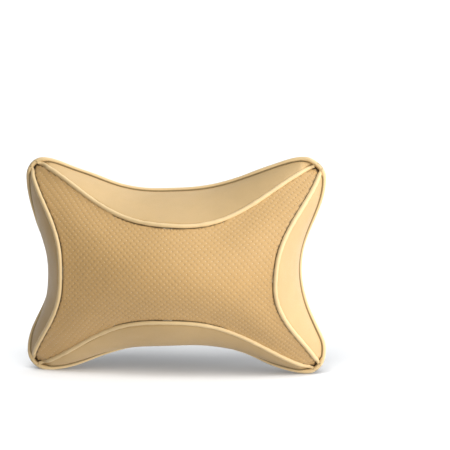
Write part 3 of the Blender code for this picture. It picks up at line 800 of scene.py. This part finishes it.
def add_pipings():
    coarse, inward = rim_line()
    line = respaced(coarse, PIPING_SPACING, closed=True)
    nearest = np.argmin(length_of(line[:, None, :] - coarse[None, :, :]), axis=1)
    radii = PIPING_RADIUS + wobble(len(line), 3)
    offsets = round_section(line, radii, PIPING_SIDES, closed=True)
    # Painted shade on the rim cord's side against the gussets
    shade = painted_cord_shade(line, offsets, inward[nearest], *RIM_CORD_SHADE)
    mesh = sweep("piping_rim_cord", line, offsets, closed=True, shade=shade)
    add_piece("piping_rim_cord", mesh, PIPING_LEATHER, "piping_leather", stands_for=["piping_rim"])
    for number, edge in enumerate(OUTWARD):
        t = np.linspace(-1, 1, FACE_EDGE_POINTS) * FACE_PIPING_REACH[edge]
        line = respaced(face_edge(edge, t), PIPING_SPACING)
        distance = travelled(line)
        to_end = np.minimum(distance, distance[-1] - distance) / PIPING_TUCK
        share = PIPING_TUCKED_SHARE + (1 - PIPING_TUCKED_SHARE) * np.sin(QUARTER * np.clip(to_end, 0, 1))
        radii = (PIPING_RADIUS + wobble(len(line), number + 10)) * share
        name = f"piping_face_cord_{edge}"
        offsets = round_section(line, radii, PIPING_SIDES)
        # Painted shade on each face cord's side against the face panel
        inward = np.broadcast_to(-np.array(OUTWARD[edge], float), line.shape)
        mesh = sweep(name, line, offsets, shade=painted_cord_shade(line, offsets, inward, *FACE_CORD_SHADE))
        add_piece(name, mesh, PIPING_LEATHER, "piping_leather", stands_for=[f"piping_face_{edge}"])


# ---- the perforated face

COLUMN_PITCH = 0.00565 / 2
ROW_PITCH = 0.0030
LATTICE_COLUMNS = 58
LATTICE_ROWS = 40
HOLE_RADIUS = 0.00042
HOLE_DIP = 0.00010
HOLE_MARGIN = 0.0040
MAP_STEP = 0.001
MAP_HALF_WIDTH = 0.150
MAP_HALF_HEIGHT = 0.108
MAP_ROUNDS = 60
LATTICE_ROUNDS = 40
LATTICE_PULL = 0.6
FOAM_DEPTH = 0.00030
FOAM_TUCK = 0.0022
FOAM_TUCK_WIDTH = 0.0030
FOAM_COLUMNS = 181
FOAM_ROWS = 121
FOAM_MARGIN = 0.0034


def between(grid, row, column):
    """A grid's values at fractional rows and columns."""
    r = np.clip(np.floor(row).astype(int), 0, grid.shape[0] - 2)
    c = np.clip(np.floor(column).astype(int), 0, grid.shape[1] - 2)
    fr, fc = row - r, column - c
    low = grid[r, c] * (1 - fc) + grid[r, c + 1] * fc
    high = grid[r + 1, c] * (1 - fc) + grid[r + 1, c + 1] * fc
    return low * (1 - fr) + high * fr


def looked_up(table, x, z):
    """A table over x and z, read between its points."""
    row = np.clip((z + MAP_HALF_HEIGHT) / MAP_STEP, 0, table.shape[0] - 1)
    column = np.clip((x + MAP_HALF_WIDTH) / MAP_STEP, 0, table.shape[1] - 1)
    return between(table, row, column)


def fabric_lattice():
    """The face's u and v at each crossing of the punched leather's straight rows and columns."""
    x, z = np.meshgrid(
        np.arange(-MAP_HALF_WIDTH, MAP_HALF_WIDTH + MAP_STEP / 2, MAP_STEP),
        np.arange(-MAP_HALF_HEIGHT, MAP_HALF_HEIGHT + MAP_STEP / 2, MAP_STEP),
    )
    u, v = x / FACE_TIP_HALF_WIDTH, z / FACE_TIP_HALF_HEIGHT
    for _ in range(MAP_ROUNDS):
        wide, high = face_reach(np.clip(u, -1, 1), np.clip(v, -1, 1))
        u, v = (u + x / wide) / 2, (v + z / high) / 2
    depth = face_depth(u, v)
    stretch_x = np.hypot(1, np.gradient(depth, MAP_STEP, axis=1))
    stretch_z = np.hypot(1, np.gradient(depth, MAP_STEP, axis=0))
    along = np.cumsum(stretch_x, axis=1) * MAP_STEP
    up = np.cumsum(stretch_z, axis=0) * MAP_STEP
    along -= along[:, along.shape[1] // 2][:, None]
    up -= up[up.shape[0] // 2][None, :]
    columns = np.arange(-LATTICE_COLUMNS, LATTICE_COLUMNS + 1)
    rows = np.arange(-LATTICE_ROWS, LATTICE_ROWS + 1)
    want_x, want_z = np.meshgrid(columns * COLUMN_PITCH, rows * ROW_PITCH)
    x, z = want_x.copy(), want_z.copy()
    for _ in range(LATTICE_ROUNDS):
        x += LATTICE_PULL * (want_x - looked_up(along, x, z))
        z += LATTICE_PULL * (want_z - looked_up(up, x, z))
        x, z = np.clip(x, -MAP_HALF_WIDTH, MAP_HALF_WIDTH), np.clip(z, -MAP_HALF_HEIGHT, MAP_HALF_HEIGHT)
    return looked_up(u, x, z), looked_up(v, x, z)


def bluntness(u, v):
    """1 on the face's edge, whose tips are a little rounded, and less inside it."""
    return (np.abs(u) ** TIP_POWER + np.abs(v) ** TIP_POWER) ** (1 / TIP_POWER)


def to_seam(u, v):
    """Distance from a place on the face to the middle of the nearest piping."""
    wide, high = face_reach(np.clip(u, -1, 1), np.clip(v, -1, 1))
    return (1 - bluntness(u, v)) * np.where(np.abs(u) * wide > np.abs(v) * high, wide, high)


def kept_inside(u, v, margin):
    """A place on the face, brought in to a margin from its edge."""
    wide, high = face_reach(np.clip(u, -1, 1), np.clip(v, -1, 1))
    limit_u, limit_v = 1 - margin / wide, 1 - margin / high
    over = np.maximum(bluntness(u / limit_u, v / limit_v), 1)
    return u / over, v / over


class LatticeMesh:
    """The punched sheet: lattice crossings, rings round the holes and the cells between them."""

    def __init__(self):
        self.u, self.v = fabric_lattice()
        self.places = []
        self.hole_edges = []
        self.faces = []
        distance = to_seam(self.u, self.v)
        row, column = np.indices(self.u.shape)
        self.inside = (np.abs(self.u) < 1) & (np.abs(self.v) < 1) & (distance > PANEL_MARGIN)
        self.holed = ((row + column) % 2 == 0) & self.inside & (distance > HOLE_MARGIN)
        self.corners = {}

    def add_place(self, row, column):
        self.places.append((row, column))
        return len(self.places) - 1

    def corner(self, row, column):
        """The vertices at a crossing: one, or the eight round a hole, counted from +column."""
        key = (row, column)
        if key not in self.corners:
            if self.holed[key]:
                ring = []
                for k in range(8):
                    angle = k * QUARTER / 2
                    up = HOLE_RADIUS / ROW_PITCH * math.sin(angle)
                    across = HOLE_RADIUS / COLUMN_PITCH * math.cos(angle)
                    ring.append(self.add_place(row + up, column + across))
                self.corners[key] = ring
                self.hole_edges += ring
            else:
                self.corners[key] = [self.add_place(row, column)]
        return self.corners[key]

    def add_cell(self, row, column):
        """One cell as a fan round its middle, counter-clockwise from its lower left corner."""
        outline = []
        for number, (up, across) in enumerate(((0, 0), (0, 1), (1, 1), (1, 0))):
            found = self.corner(row + up, column + across)
            if len(found) == 1:
                outline += found
            else:
                outline += [found[(2 + 2 * number - k) % 8] for k in range(3)]
        middle = self.add_place(row + 0.5, column + 0.5)
        for first, second in zip(outline, outline[1:] + outline[:1]):
            self.faces.append((first, second, middle))

    def build(self):
        rows, columns = self.u.shape
        for row in range(rows - 1):
            for column in range(columns - 1):
                if self.inside[row : row + 2, column : column + 2].any():
                    self.add_cell(row, column)
        row, column = np.array(self.places, float).T
        return kept_inside(between(self.u, row, column), between(self.v, row, column), PANEL_MARGIN)


def add_face():
    """The punched leather, and the thin foam it is bonded to, which shows in the holes."""
    lattice = LatticeMesh()
    u, v = lattice.build()
    distance = to_seam(u, v)
    height = seam_height(distance)
    height[lattice.hole_edges] -= HOLE_DIP
    points = raised(puffed_face, u, v, height)
    mesh = new_mesh("face_cover", points, lattice.faces)
    # Painted shade in the crease beside the face's pipings
    add_painted_shade(mesh, painted_seam_shade(distance) * FACE_SEAM_SHADE)
    piece = add_piece("face_cover", mesh, FACE_LEATHER, "perforated_leather", stands_for=["face_panel"])
    thicken(piece)
    piece.modifiers.new("even normals", "WEIGHTED_NORMAL").keep_sharp = True
    grid = np.meshgrid(np.linspace(-1, 1, FOAM_COLUMNS), np.linspace(-1, 1, FOAM_ROWS))
    u, v = kept_inside(*grid, FOAM_MARGIN)
    distance = to_seam(u, v)
    tuck = FOAM_TUCK * np.exp(-((distance / FOAM_TUCK_WIDTH) ** 2))
    points = raised(puffed_face, u, v, seam_height(distance) - FOAM_DEPTH - tuck)
    foam = add_sheet("face_foam", points, np.zeros(u.shape), FOAM, "perforated_leather")


# ---- the back and its zip

TAPE_LOW, TAPE_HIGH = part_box("zip_tape_upper")
ZIP_Z = (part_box("zip_coil_lower")[0].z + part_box("zip_coil_upper")[1].z) / 2 - ORIGIN.z
SLOT_HALF_LENGTH = TAPE_HIGH.x
SLOT_HALF_HEIGHT = 0.0034
BUTTED_HALF_GAP = 0.00012
FOLD_DIP = 0.0007
FOLD_DIP_WIDTH = 0.0011
# Painted shade along the zip's folded edges, at its darkest
FOLD_SEAM_SHADE = 0.7
ZIP_CALM_START = 0.006
ZIP_CALM_END = 0.022
HALVINGS = 40
SLOT_ROUNDS = 3
LINE_ROUNDS = 12


def row_for_height(u, height):
    """The back panel's v at a height, for each u."""
    low, high = np.full_like(u, -1.0), np.ones_like(u)
    for _ in range(HALVINGS):
        middle = (low + high) / 2
        above = back(u, middle)[..., 2] > height
        low, high = np.where(above, low, middle), np.where(above, middle, high)
    return (low + high) / 2


def slot_half(x):
    """Half the height of the zip's slot, rounded at its ends, and a closed butt seam beyond them."""
    beyond = np.clip(np.abs(x) - SLOT_HALF_LENGTH + SLOT_HALF_HEIGHT, 0, SLOT_HALF_HEIGHT) / SLOT_HALF_HEIGHT
    return np.maximum(SLOT_HALF_HEIGHT * np.sqrt(1 - beyond**2), BUTTED_HALF_GAP)


def calm_back(u, v):
    """The puffed back, left flat along the zip so that the slider runs clear."""
    points = back(u, v)
    away = (np.abs(points[..., 2] - ZIP_Z) - ZIP_CALM_START) / (ZIP_CALM_END - ZIP_CALM_START)
    return points + sampled(PUFF_BACK, u, v) * smooth(away)[..., None]


def back_height(u, v):
    """The back leather's outer face, dipped at the rim and at the zip's folded edges, and the shade painted
    into its rim seam and along the zip's folds.
    """
    wide, high = rim("right", v)[..., 0], rim("top", u)[..., 2]
    distance = np.minimum((1 - np.abs(u)) * wide, (1 - np.abs(v)) * high)
    place = back(u, v)
    to_fold = np.clip(np.abs(place[..., 2] - ZIP_Z) - slot_half(place[..., 0]), 0, None)
    height = seam_height(distance, BACK_RIM_DIP) - FOLD_DIP * np.exp(-((to_fold / FOLD_DIP_WIDTH) ** 2))
    # Painted shade along the zip's folded edges
    fold_painted_shade = painted_seam_shade(to_fold * 2 + SEAM_SHADE_START) * FOLD_SEAM_SHADE
    return height, np.maximum(painted_seam_shade(distance) * BACK_SEAM_SHADE, fold_painted_shade)


def add_back_panels():
    across = np.linspace(-1, 1, BACK_COLUMNS)
    limit = 1 - PANEL_MARGIN / WAIST_HALF_HEIGHT
    for half, side in (("upper", 1), ("lower", -1)):
        start = across.copy()
        for _ in range(SLOT_ROUNDS):
            x = back(across, start)[..., 0]
            start = row_for_height(across, ZIP_Z + side * slot_half(x))
        u, share = np.meshgrid(across, np.linspace(0, 1, BACK_ROWS) ** BACK_ROW_POWER)
        v = start[None, :] + (side * limit - start[None, :]) * share
        u = u * (1 - PANEL_MARGIN / WAIST_HALF_WIDTH)
        height, shade = back_height(u, v)
        points = raised(calm_back, u, v, height, -1.0)
        name, node = f"back_cover_{half}", f"back_panel_{half}"
        piece = add_sheet(name, points, shade, BACK_LEATHER, "smooth_leather", side > 0, [node])


STITCH_PITCH = 0.0034
STITCH_LENGTH = 0.0027
STITCH_RADIUS = 0.00034
STITCH_RISE = 0.0003
STITCH_SINK = 2.4
STITCH_TAPER = 0.75
STITCH_RINGS = 7
STITCH_SIDES = 8


def add_stitches(name, line, normals):
    """A row of single stitches along a line on a surface, each a short thread with both ends sunk."""
    distance = travelled(line)
    starts = np.arange(STITCH_PITCH / 2, distance[-1] - STITCH_LENGTH, STITCH_PITCH)
    turn = np.linspace(-1, 1, STITCH_RINGS)
    places = starts[:, None] + (turn[None, :] + 1) / 2 * STITCH_LENGTH
    centre = np.stack([np.interp(places, distance, line[:, k]) for k in range(3)], axis=-1)
    normal = np.stack([np.interp(places, distance, normals[:, k]) for k in range(3)], axis=-1)
    centre += normal * (STITCH_RISE * (1 - STITCH_SINK * turn**4))[None, :, None]
    side = np.cross(unit(np.gradient(centre, axis=1)), normal)
    radius = STITCH_RADIUS * np.sqrt(1 - STITCH_TAPER * turn**6)
    points = centre[..., None, :] + circles(side, normal, STITCH_SIDES) * radius[:, None, None]
    numbers = np.arange(points[..., 0].size).reshape(points.shape[:3])
    faces = []
    for stitch in numbers:
        closed = np.concatenate([stitch, stitch[:, :1]], axis=1)
        faces += quads(closed).tolist()
        faces += [stitch[0].tolist(), stitch[-1][::-1].tolist()]
    add_piece(name, new_mesh(name, points, faces), THREAD, "piping_leather")


def back_line(x, z):
    """A line on the back cover through places x and z, with the surface's normals."""
    v = row_for_height(np.asarray(x) / WAIST_HALF_WIDTH, z)
    u = np.asarray(x) / WAIST_HALF_WIDTH
    for _ in range(LINE_ROUNDS):
        u = u + (x - back(u, v)[..., 0]) / WAIST_HALF_WIDTH
        v = row_for_height(u, z)
    height, _ = back_height(u, v)
    outer = raised(calm_back, u, v, height, -1.0)
    return outer, unit(outer - raised(calm_back, u, v, height - LEATHER, -1.0))


ZIP_STITCH_AWAY = 0.0026
ZIP_RUN_POINTS = 160
ZIP_RISE_POINTS = 24


def add_zip_stitches():
    """Topstitching all round the zip's slot."""
    half_x, half_z = SLOT_HALF_LENGTH + ZIP_STITCH_AWAY, SLOT_HALF_HEIGHT + ZIP_STITCH_AWAY
    run = np.linspace(-half_x, half_x, ZIP_RUN_POINTS)
    rise = np.linspace(-half_z, half_z, ZIP_RISE_POINTS)
    rows = {
        "upper": (run, np.full_like(run, ZIP_Z + half_z)),
        "lower": (run, np.full_like(run, ZIP_Z - half_z)),
        "closed_end": (np.full_like(rise, -half_x), ZIP_Z + rise),
        "open_end": (np.full_like(rise, half_x), ZIP_Z + rise),
    }
    for name, (x, z) in rows.items():
        add_stitches(f"zip_stitches_{name}", *back_line(x, z))


RIBBON_SPACING = 0.0014
RIBBON_POINTS = 57
RIBBON_EDGE_POWER = 14
TAPE_RIB = {"rib": 0.0011, "depth": 0.00006}
WEBBING_RIB = {"rib": 0.0021, "depth": 0.00009}


def add_ribbon(name, path, thickness, width, material, slot, rib, depth, height=0.0, **placing):
    """A woven strip that follows a path in x and y, ribbed along its length, centred on a height."""
    path = np.asarray(path, float)
    centres = respaced(stacked(path[:, 0], path[:, 1], height), RIBBON_SPACING)
    along = directions(centres)
    normal = np.cross((0.0, 0.0, 1.0), along)
    z = np.linspace(-1, 1, RIBBON_POINTS) * width / 2
    edge = np.sqrt(np.clip(1 - np.abs(2 * z / width) ** RIBBON_EDGE_POWER, 0, 1))
    half = (thickness / 2 - depth * (1 - np.cos(2 * math.pi * z / rib)) / 2) * edge
    section_z = np.concatenate([z, z[-2:0:-1]])
    section_n = np.concatenate([half, -half[-2:0:-1]])
    upward = np.array((0.0, 0.0, 1.0)) * section_z[:, None]
    offsets = normal[:, None, :] * section_n[:, None] + upward
    mesh = sweep(name, centres, offsets[:, ::-1])
    return add_piece(name, mesh, material, slot, **placing)


COIL_PITCH = 0.0015
COIL_WIRE = 0.00030
COIL_TURN_POINTS = 14
COIL_SIDES = 6
COIL_REACH = 0.0002


def add_zip():
    tape_y = (TAPE_LOW.y + TAPE_HIGH.y) / 2 - ORIGIN.y
    for name, side in (("upper", 1), ("lower", -1)):
        low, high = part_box(f"zip_tape_{name}")
        tape = [(low.x, tape_y), (high.x, tape_y)]
        add_ribbon(
            f"zip_tape_cloth_{name}",
            tape,
            high.y - low.y,
            high.z - low.z,
            TAPE,
            "zip_tape",
            height=(low.z + high.z) / 2 - ORIGIN.z,
            stands_for=[f"zip_tape_{name}"],
            **TAPE_RIB,
        )
        low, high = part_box(f"zip_coil_{name}")
        turns = (high.x - low.x) / COIL_PITCH
        angle = np.arange(0, turns * COIL_TURN_POINTS) / COIL_TURN_POINTS * 2 * math.pi
        mid_y, mid_z = (low.y + high.y) / 2 - ORIGIN.y, (low.z + high.z) / 2 - ORIGIN.z
        half_y, half_z = (high.y - low.y) / 2 - COIL_WIRE, (high.z - low.z) / 2 - COIL_WIRE
        start = 0 if side > 0 else math.pi
        line = stacked(
            low.x + COIL_WIRE + angle / (2 * math.pi) * COIL_PITCH * (1 - 2 * COIL_WIRE / (high.x - low.x)),
            mid_y + half_y * np.sin(angle),
            mid_z - side * COIL_REACH / 2 + (half_z + COIL_REACH / 2) * np.cos(angle + start),
        )
        offsets = round_section(line, np.full(len(line), COIL_WIRE), COIL_SIDES, up=(1.0, 0.0, 0.0))
        mesh = sweep(f"zip_coil_turns_{name}", line, offsets)
        add_piece(f"zip_coil_turns_{name}", mesh, NYLON, "zip_nylon", stands_for=[f"zip_coil_{name}"], sharp=70)
    add_zip_stitches()


METAL_EDGE = 0.0002
MOULDED_EDGE = 0.0004


def join_corners(piece):
    """Joins the CAD mesh's separate triangles, before a modifier that needs them joined."""
    piece.modifiers.new("joined", "WELD").merge_threshold = 1e-6


def finish_cad_node(name, material, edge):
    """Keeps a CAD node whose shape is right: its own material, and softened edges."""
    node = NODES[name]
    node.data.materials.clear()
    node.data.materials.append(material)
    join_corners(node)
    bevel = node.modifiers.new("soft edges", "BEVEL")
    bevel.width = edge
    bevel.segments = 2
    bevel.limit_method = "ANGLE"
    bevel.harden_normals = True


# ---- the strap

STRAP = 0.0012
STRAP_WIDTH = 0.025
STRAP_LIFT = 0.027
STRAP_END_LIFT = 0.0105
STRAP_END_X = 0.111
STRAP_FLAT_X = 0.060
STRAP_SAG_POWER = 2.6
SEAM_ENTRY = ((0.1135, 0.0076), (0.1150, 0.0049), (0.1158, 0.0024))
RING_WIRE = 0.0013
RING_X = (0.048, 0.058)
RING_HALF_HEIGHT = 0.0145
RING_SPACING = 0.0005
RING_SIDES = 20
GLIDE_X = 0.004
GLIDE_LENGTH = 0.018
GLIDE_THICKNESS = 0.0024
GLIDE_BAR = 0.003
FOLD = 0.0008
GAP = 0.0003
FOLD_BASE = STRAP_LIFT + STRAP / 2 + GAP
GLIDE_MIDDLE = FOLD_BASE + FOLD + GAP + GLIDE_THICKNESS / 2
ANCHOR_TAIL_SHARE = 0.12
ANCHOR_CLOSING = 0.6
STRAP_POINTS = 40
RETURN_POINTS = 60


def strap_lift(x):
    """How far the strap stands off the rim's plane at x."""
    beyond = np.clip(np.abs(x) - STRAP_FLAT_X, 0, None) / (STRAP_END_X - STRAP_FLAT_X)
    return STRAP_LIFT - (STRAP_LIFT - STRAP_END_LIFT) * beyond**STRAP_SAG_POWER


def arc(x, y, radius, start, end, count=16):
    """Points of an arc between two angles in degrees."""
    angles = np.radians(np.linspace(start, end, count))
    return [(x + radius * math.cos(a), y + radius * math.sin(a)) for a in angles]


def add_webbing(name, path, thickness, node, body="cover"):
    """One run of the strap's elastic webbing, in the place of a CAD node."""
    ribbon = {"width": STRAP_WIDTH, "material": WEBBING, "slot": "elastic_webbing", **WEBBING_RIB}
    return add_ribbon(name, path, thickness, body=body, stands_for=[node], **ribbon)


def add_strap():
    wrap = RING_WIRE + GAP + STRAP / 2
    bar_y = STRAP_LIFT + STRAP / 2 + GAP + RING_WIRE
    tail = (RING_X[0] - 2 * wrap, bar_y + wrap)
    climb = [(x, strap_lift(x)) for x in np.linspace(-STRAP_END_X, -STRAP_FLAT_X, STRAP_POINTS)]
    entry = [(-x, y) for x, y in SEAM_ENTRY[::-1]]
    band = entry + climb + arc(RING_X[0], bar_y, wrap, -90, 90) + [tail]
    add_webbing("strap_webbing", band, STRAP, "strap_band")
    add_strap_return(tail)
    add_anchor_loop(wrap, bar_y)
    add_ring(bar_y)
    add_end_fold()


def add_strap_return(tail):
    """The strap's second layer, between the slider and the ring, drawn at one length; on the strap it gets
    shorter and longer as the slider moves.
    """
    start_x = GLIDE_X + GLIDE_LENGTH / 2 + 2 * GAP
    end_x = tail[0] - GAP
    share = np.linspace(0, 1, RETURN_POINTS)
    height = FOLD_BASE + FOLD / 2 + (tail[1] - FOLD_BASE - FOLD / 2) * ramp(share, 1.0)
    path = np.stack([start_x + (end_x - start_x) * share, height], axis=1)
    piece = add_webbing("strap_second_layer", path, FOLD, "strap_return", body=None)
    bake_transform(piece)


def add_anchor_loop(wrap, bar_y):
    """The doubled loop that ties the ring into the right-hand seam."""
    bar_x = RING_X[1]
    inner = [(x, strap_lift(x)) for x in np.linspace(STRAP_END_X, bar_x + wrap, STRAP_POINTS)]
    outer = []
    for share in np.linspace(ANCHOR_TAIL_SHARE, 1, STRAP_POINTS):
        x = bar_x + (STRAP_END_X - bar_x) * share
        apart = 2 * wrap + (STRAP + GAP - 2 * wrap) * float(ramp(share, ANCHOR_CLOSING))
        slope = (strap_lift(x - GAP) - strap_lift(x + GAP)) / (2 * GAP)
        outer.append((x, strap_lift(x) + apart * math.hypot(1, slope)))
    path = list(SEAM_ENTRY[::-1]) + inner + arc(bar_x, bar_y, wrap, 270, 90) + outer
    add_webbing("strap_anchor_webbing", path, STRAP, "strap_anchor_loop")


def add_ring(bar_y):
    """The moulded ring, a round bar bent into a rounded rectangle."""
    left, right = RING_X
    corner = 2 * RING_WIRE
    path = []
    for x, side, end in ((right, 1, 90), (left, 1, 180), (left, -1, 270), (right, -1, 360)):
        centre_x = x - corner if x == right else x + corner
        path += arc(centre_x, side * (RING_HALF_HEIGHT - corner), corner, end - 90, end, 8)
    path = np.array(path)
    line = respaced(stacked(path[:, 0], bar_y, path[:, 1]), RING_SPACING, closed=True)
    offsets = round_section(line, np.full(len(line), RING_WIRE), RING_SIDES, closed=True)
    mesh = sweep("strap_ring_bar", line, offsets, closed=True)
    add_piece("strap_ring_bar", mesh, PLASTIC, "moulded_plastic", stands_for=["strap_ring"])


def add_end_fold():
    """The strap's sewn end, round the slider's middle bar."""
    half_x = GLIDE_BAR / 2 + GAP + FOLD / 2
    half_y = GLIDE_THICKNESS / 2 + GAP + FOLD / 2
    corner = FOLD
    path = [(GLIDE_LENGTH / 2 + GAP, -half_y), (corner - half_x, -half_y)]
    path += arc(corner - half_x, corner - half_y, corner, 270, 180, 6)[1:]
    path += arc(corner - half_x, half_y - corner, corner, 180, 90, 6)
    path += arc(half_x - corner, half_y - corner, corner, 90, 0, 6)
    path += [(half_x, FOLD + GAP - half_y)]
    path = np.array(path) + np.array((GLIDE_X, GLIDE_MIDDLE))
    add_webbing("strap_end_webbing", path, FOLD, "strap_end_fold", body="strap_slider")


# ---- the inside

INSIDE_SCALE = 0.967
CLOTH_CRUMPLE = 0.0006
CLOTH_CRUMPLE_SIZE = 0.02
WAD_CRUMPLE = 0.0012
WAD_CRUMPLE_SIZE = 0.01


def add_inside(name, node, material, slot, crumple, size):
    """A soft inner piece: its CAD solid drawn in from the uneven rim, made smooth and crumpled a little."""
    mesh = NODES[node].data.copy()
    mesh.name = name
    mesh.materials.clear()
    for vertex in mesh.vertices:
        vertex.co.x *= INSIDE_SCALE
        vertex.co.z = ORIGIN.z + (vertex.co.z - ORIGIN.z) * INSIDE_SCALE
    piece = add_piece(name, mesh, material, slot, stands_for=[node])
    join_corners(piece)
    rounded = piece.modifiers.new("rounded", "SUBSURF")
    rounded.levels = rounded.render_levels = 2
    texture = bpy.data.textures.new(name, "CLOUDS")
    texture.noise_scale = size
    folds = piece.modifiers.new("folds", "DISPLACE")
    folds.texture = texture
    folds.texture_coords = "LOCAL"
    folds.strength = crumple


# ---- the studio

FLOOR_HALF = 20.0
CAMERA_DISTANCE = 2.78
CAMERA_AZIMUTH = math.radians(6.25)
CAMERA_ELEVATION = math.radians(7.4)
CAMERA_LENS = 238
CAMERA_SHIFT = (0.11, 0.089)
ROOM_LEFT = 0.0
ROOM_RIGHT = 1.62
FLOOR_LIGHT = {"towards": (0.0, -1.05, 1.0), "strength": 8.4, "softness": 50}
KEY_LIGHT = {"towards": (0.90, -0.43, 0.52), "strength": 1.5, "softness": 45}
SKY_LIGHT = {"towards": (0.35, 0.15, 1.0), "strength": 0.55, "softness": 60, "colour": (0.50, 0.72, 1.0)}
FLOOR_TONES = (0.385, 0.385, 0.385), (0.405, 0.405, 0.405)


def add_floor():
    mesh = bpy.data.meshes.new("floor")
    corners = [(x * FLOOR_HALF, y * FLOOR_HALF) for x, y in ((-1, -1), (1, -1), (1, 1), (-1, 1))]
    mesh.from_pydata([(x, y, CAD_BOX[0].z) for x, y in corners], [], [(0, 1, 2, 3)])
    shader = Shader("floor_paper")
    shader.set(Specular_IOR_Level=0.1)
    tone = shader.mix(shader.noise(3, 2), *FLOOR_TONES)
    mesh.materials.append(shader.wear(tone, None, shader.steps(shader.noise(40, 2), 0.3, 0.7, 0.85, 0.95)))
    floor = bpy.data.objects.new("floor", mesh)
    floor.visible_diffuse = False
    bpy.context.scene.collection.objects.link(floor)
    return floor


def add_sun(name, towards, strength, softness, colour=(1.0, 1.0, 1.0)):
    light = bpy.data.lights.new(name, "SUN")
    light.energy = strength
    light.angle = math.radians(softness)
    light.color = colour
    lamp = bpy.data.objects.new(name, light)
    lamp.rotation_euler = Vector(towards).to_track_quat("Z", "Y").to_euler()
    bpy.context.scene.collection.objects.link(lamp)
    return lamp


def add_camera():
    data = bpy.data.cameras.new("camera")
    data.lens = CAMERA_LENS
    data.shift_x, data.shift_y = CAMERA_SHIFT
    data.clip_end = 100
    camera = bpy.data.objects.new("camera", data)
    level = math.cos(CAMERA_ELEVATION)
    across, along = math.sin(CAMERA_AZIMUTH) * level, math.cos(CAMERA_AZIMUTH) * level
    away = Vector((across, -along, math.sin(CAMERA_ELEVATION)))
    turn = away.to_track_quat("Z", "Y").to_matrix().to_4x4()
    camera.matrix_world = Matrix.Translation(ORIGIN + away * CAMERA_DISTANCE) @ turn
    bpy.context.scene.collection.objects.link(camera)
    bpy.context.scene.camera = camera


def add_studio():
    world = bpy.data.worlds.new("studio")
    world.use_nodes = True
    nodes, links = world.node_tree.nodes, world.node_tree.links
    direction = nodes.new("ShaderNodeTexCoord").outputs["Generated"]
    parts = nodes.new("ShaderNodeSeparateXYZ")
    links.new(direction, parts.inputs["Vector"])
    across = nodes.new("ShaderNodeMapRange")
    set_inputs(across, From_Min=-1.0, From_Max=1.0, To_Min=ROOM_LEFT, To_Max=ROOM_RIGHT)
    links.new(parts.outputs["X"], across.inputs["Value"])
    links.new(across.outputs["Result"], nodes["Background"].inputs["Strength"])
    set_inputs(nodes["Background"], Color=(1.0, 1.0, 1.0, 1.0))
    bpy.context.scene.world = world
    lit = bpy.data.collections.new("floor_light_falls_on")
    lit.objects.link(add_floor())
    add_sun("floor_light", **FLOOR_LIGHT).light_linking.receiver_collection = lit
    add_sun("key", **KEY_LIGHT)
    add_sun("sky", **SKY_LIGHT)
    bpy.context.scene.view_settings.view_transform = "Standard"


# ---- the whole pillow


def build():
    add_camera()
    add_gussets()
    add_pipings()
    add_face()
    add_back_panels()
    add_zip()
    for name in ("zip_stop_closed", "zip_stop_open", "zip_slider", "zip_pull_tab"):
        finish_cad_node(name, METAL, METAL_EDGE)
    add_strap()
    finish_cad_node("strap_slider", PLASTIC, MOULDED_EDGE)
    for half in ("front", "back"):
        node = f"inner_bag_{half}"
        add_inside(f"bag_cloth_{half}", node, LINING, "lining_fabric", CLOTH_CRUMPLE, CLOTH_CRUMPLE_SIZE)
    add_inside("filling_wad", "filling", FIBRE, "polyester_fibre", WAD_CRUMPLE, WAD_CRUMPLE_SIZE)
    add_studio()


build()
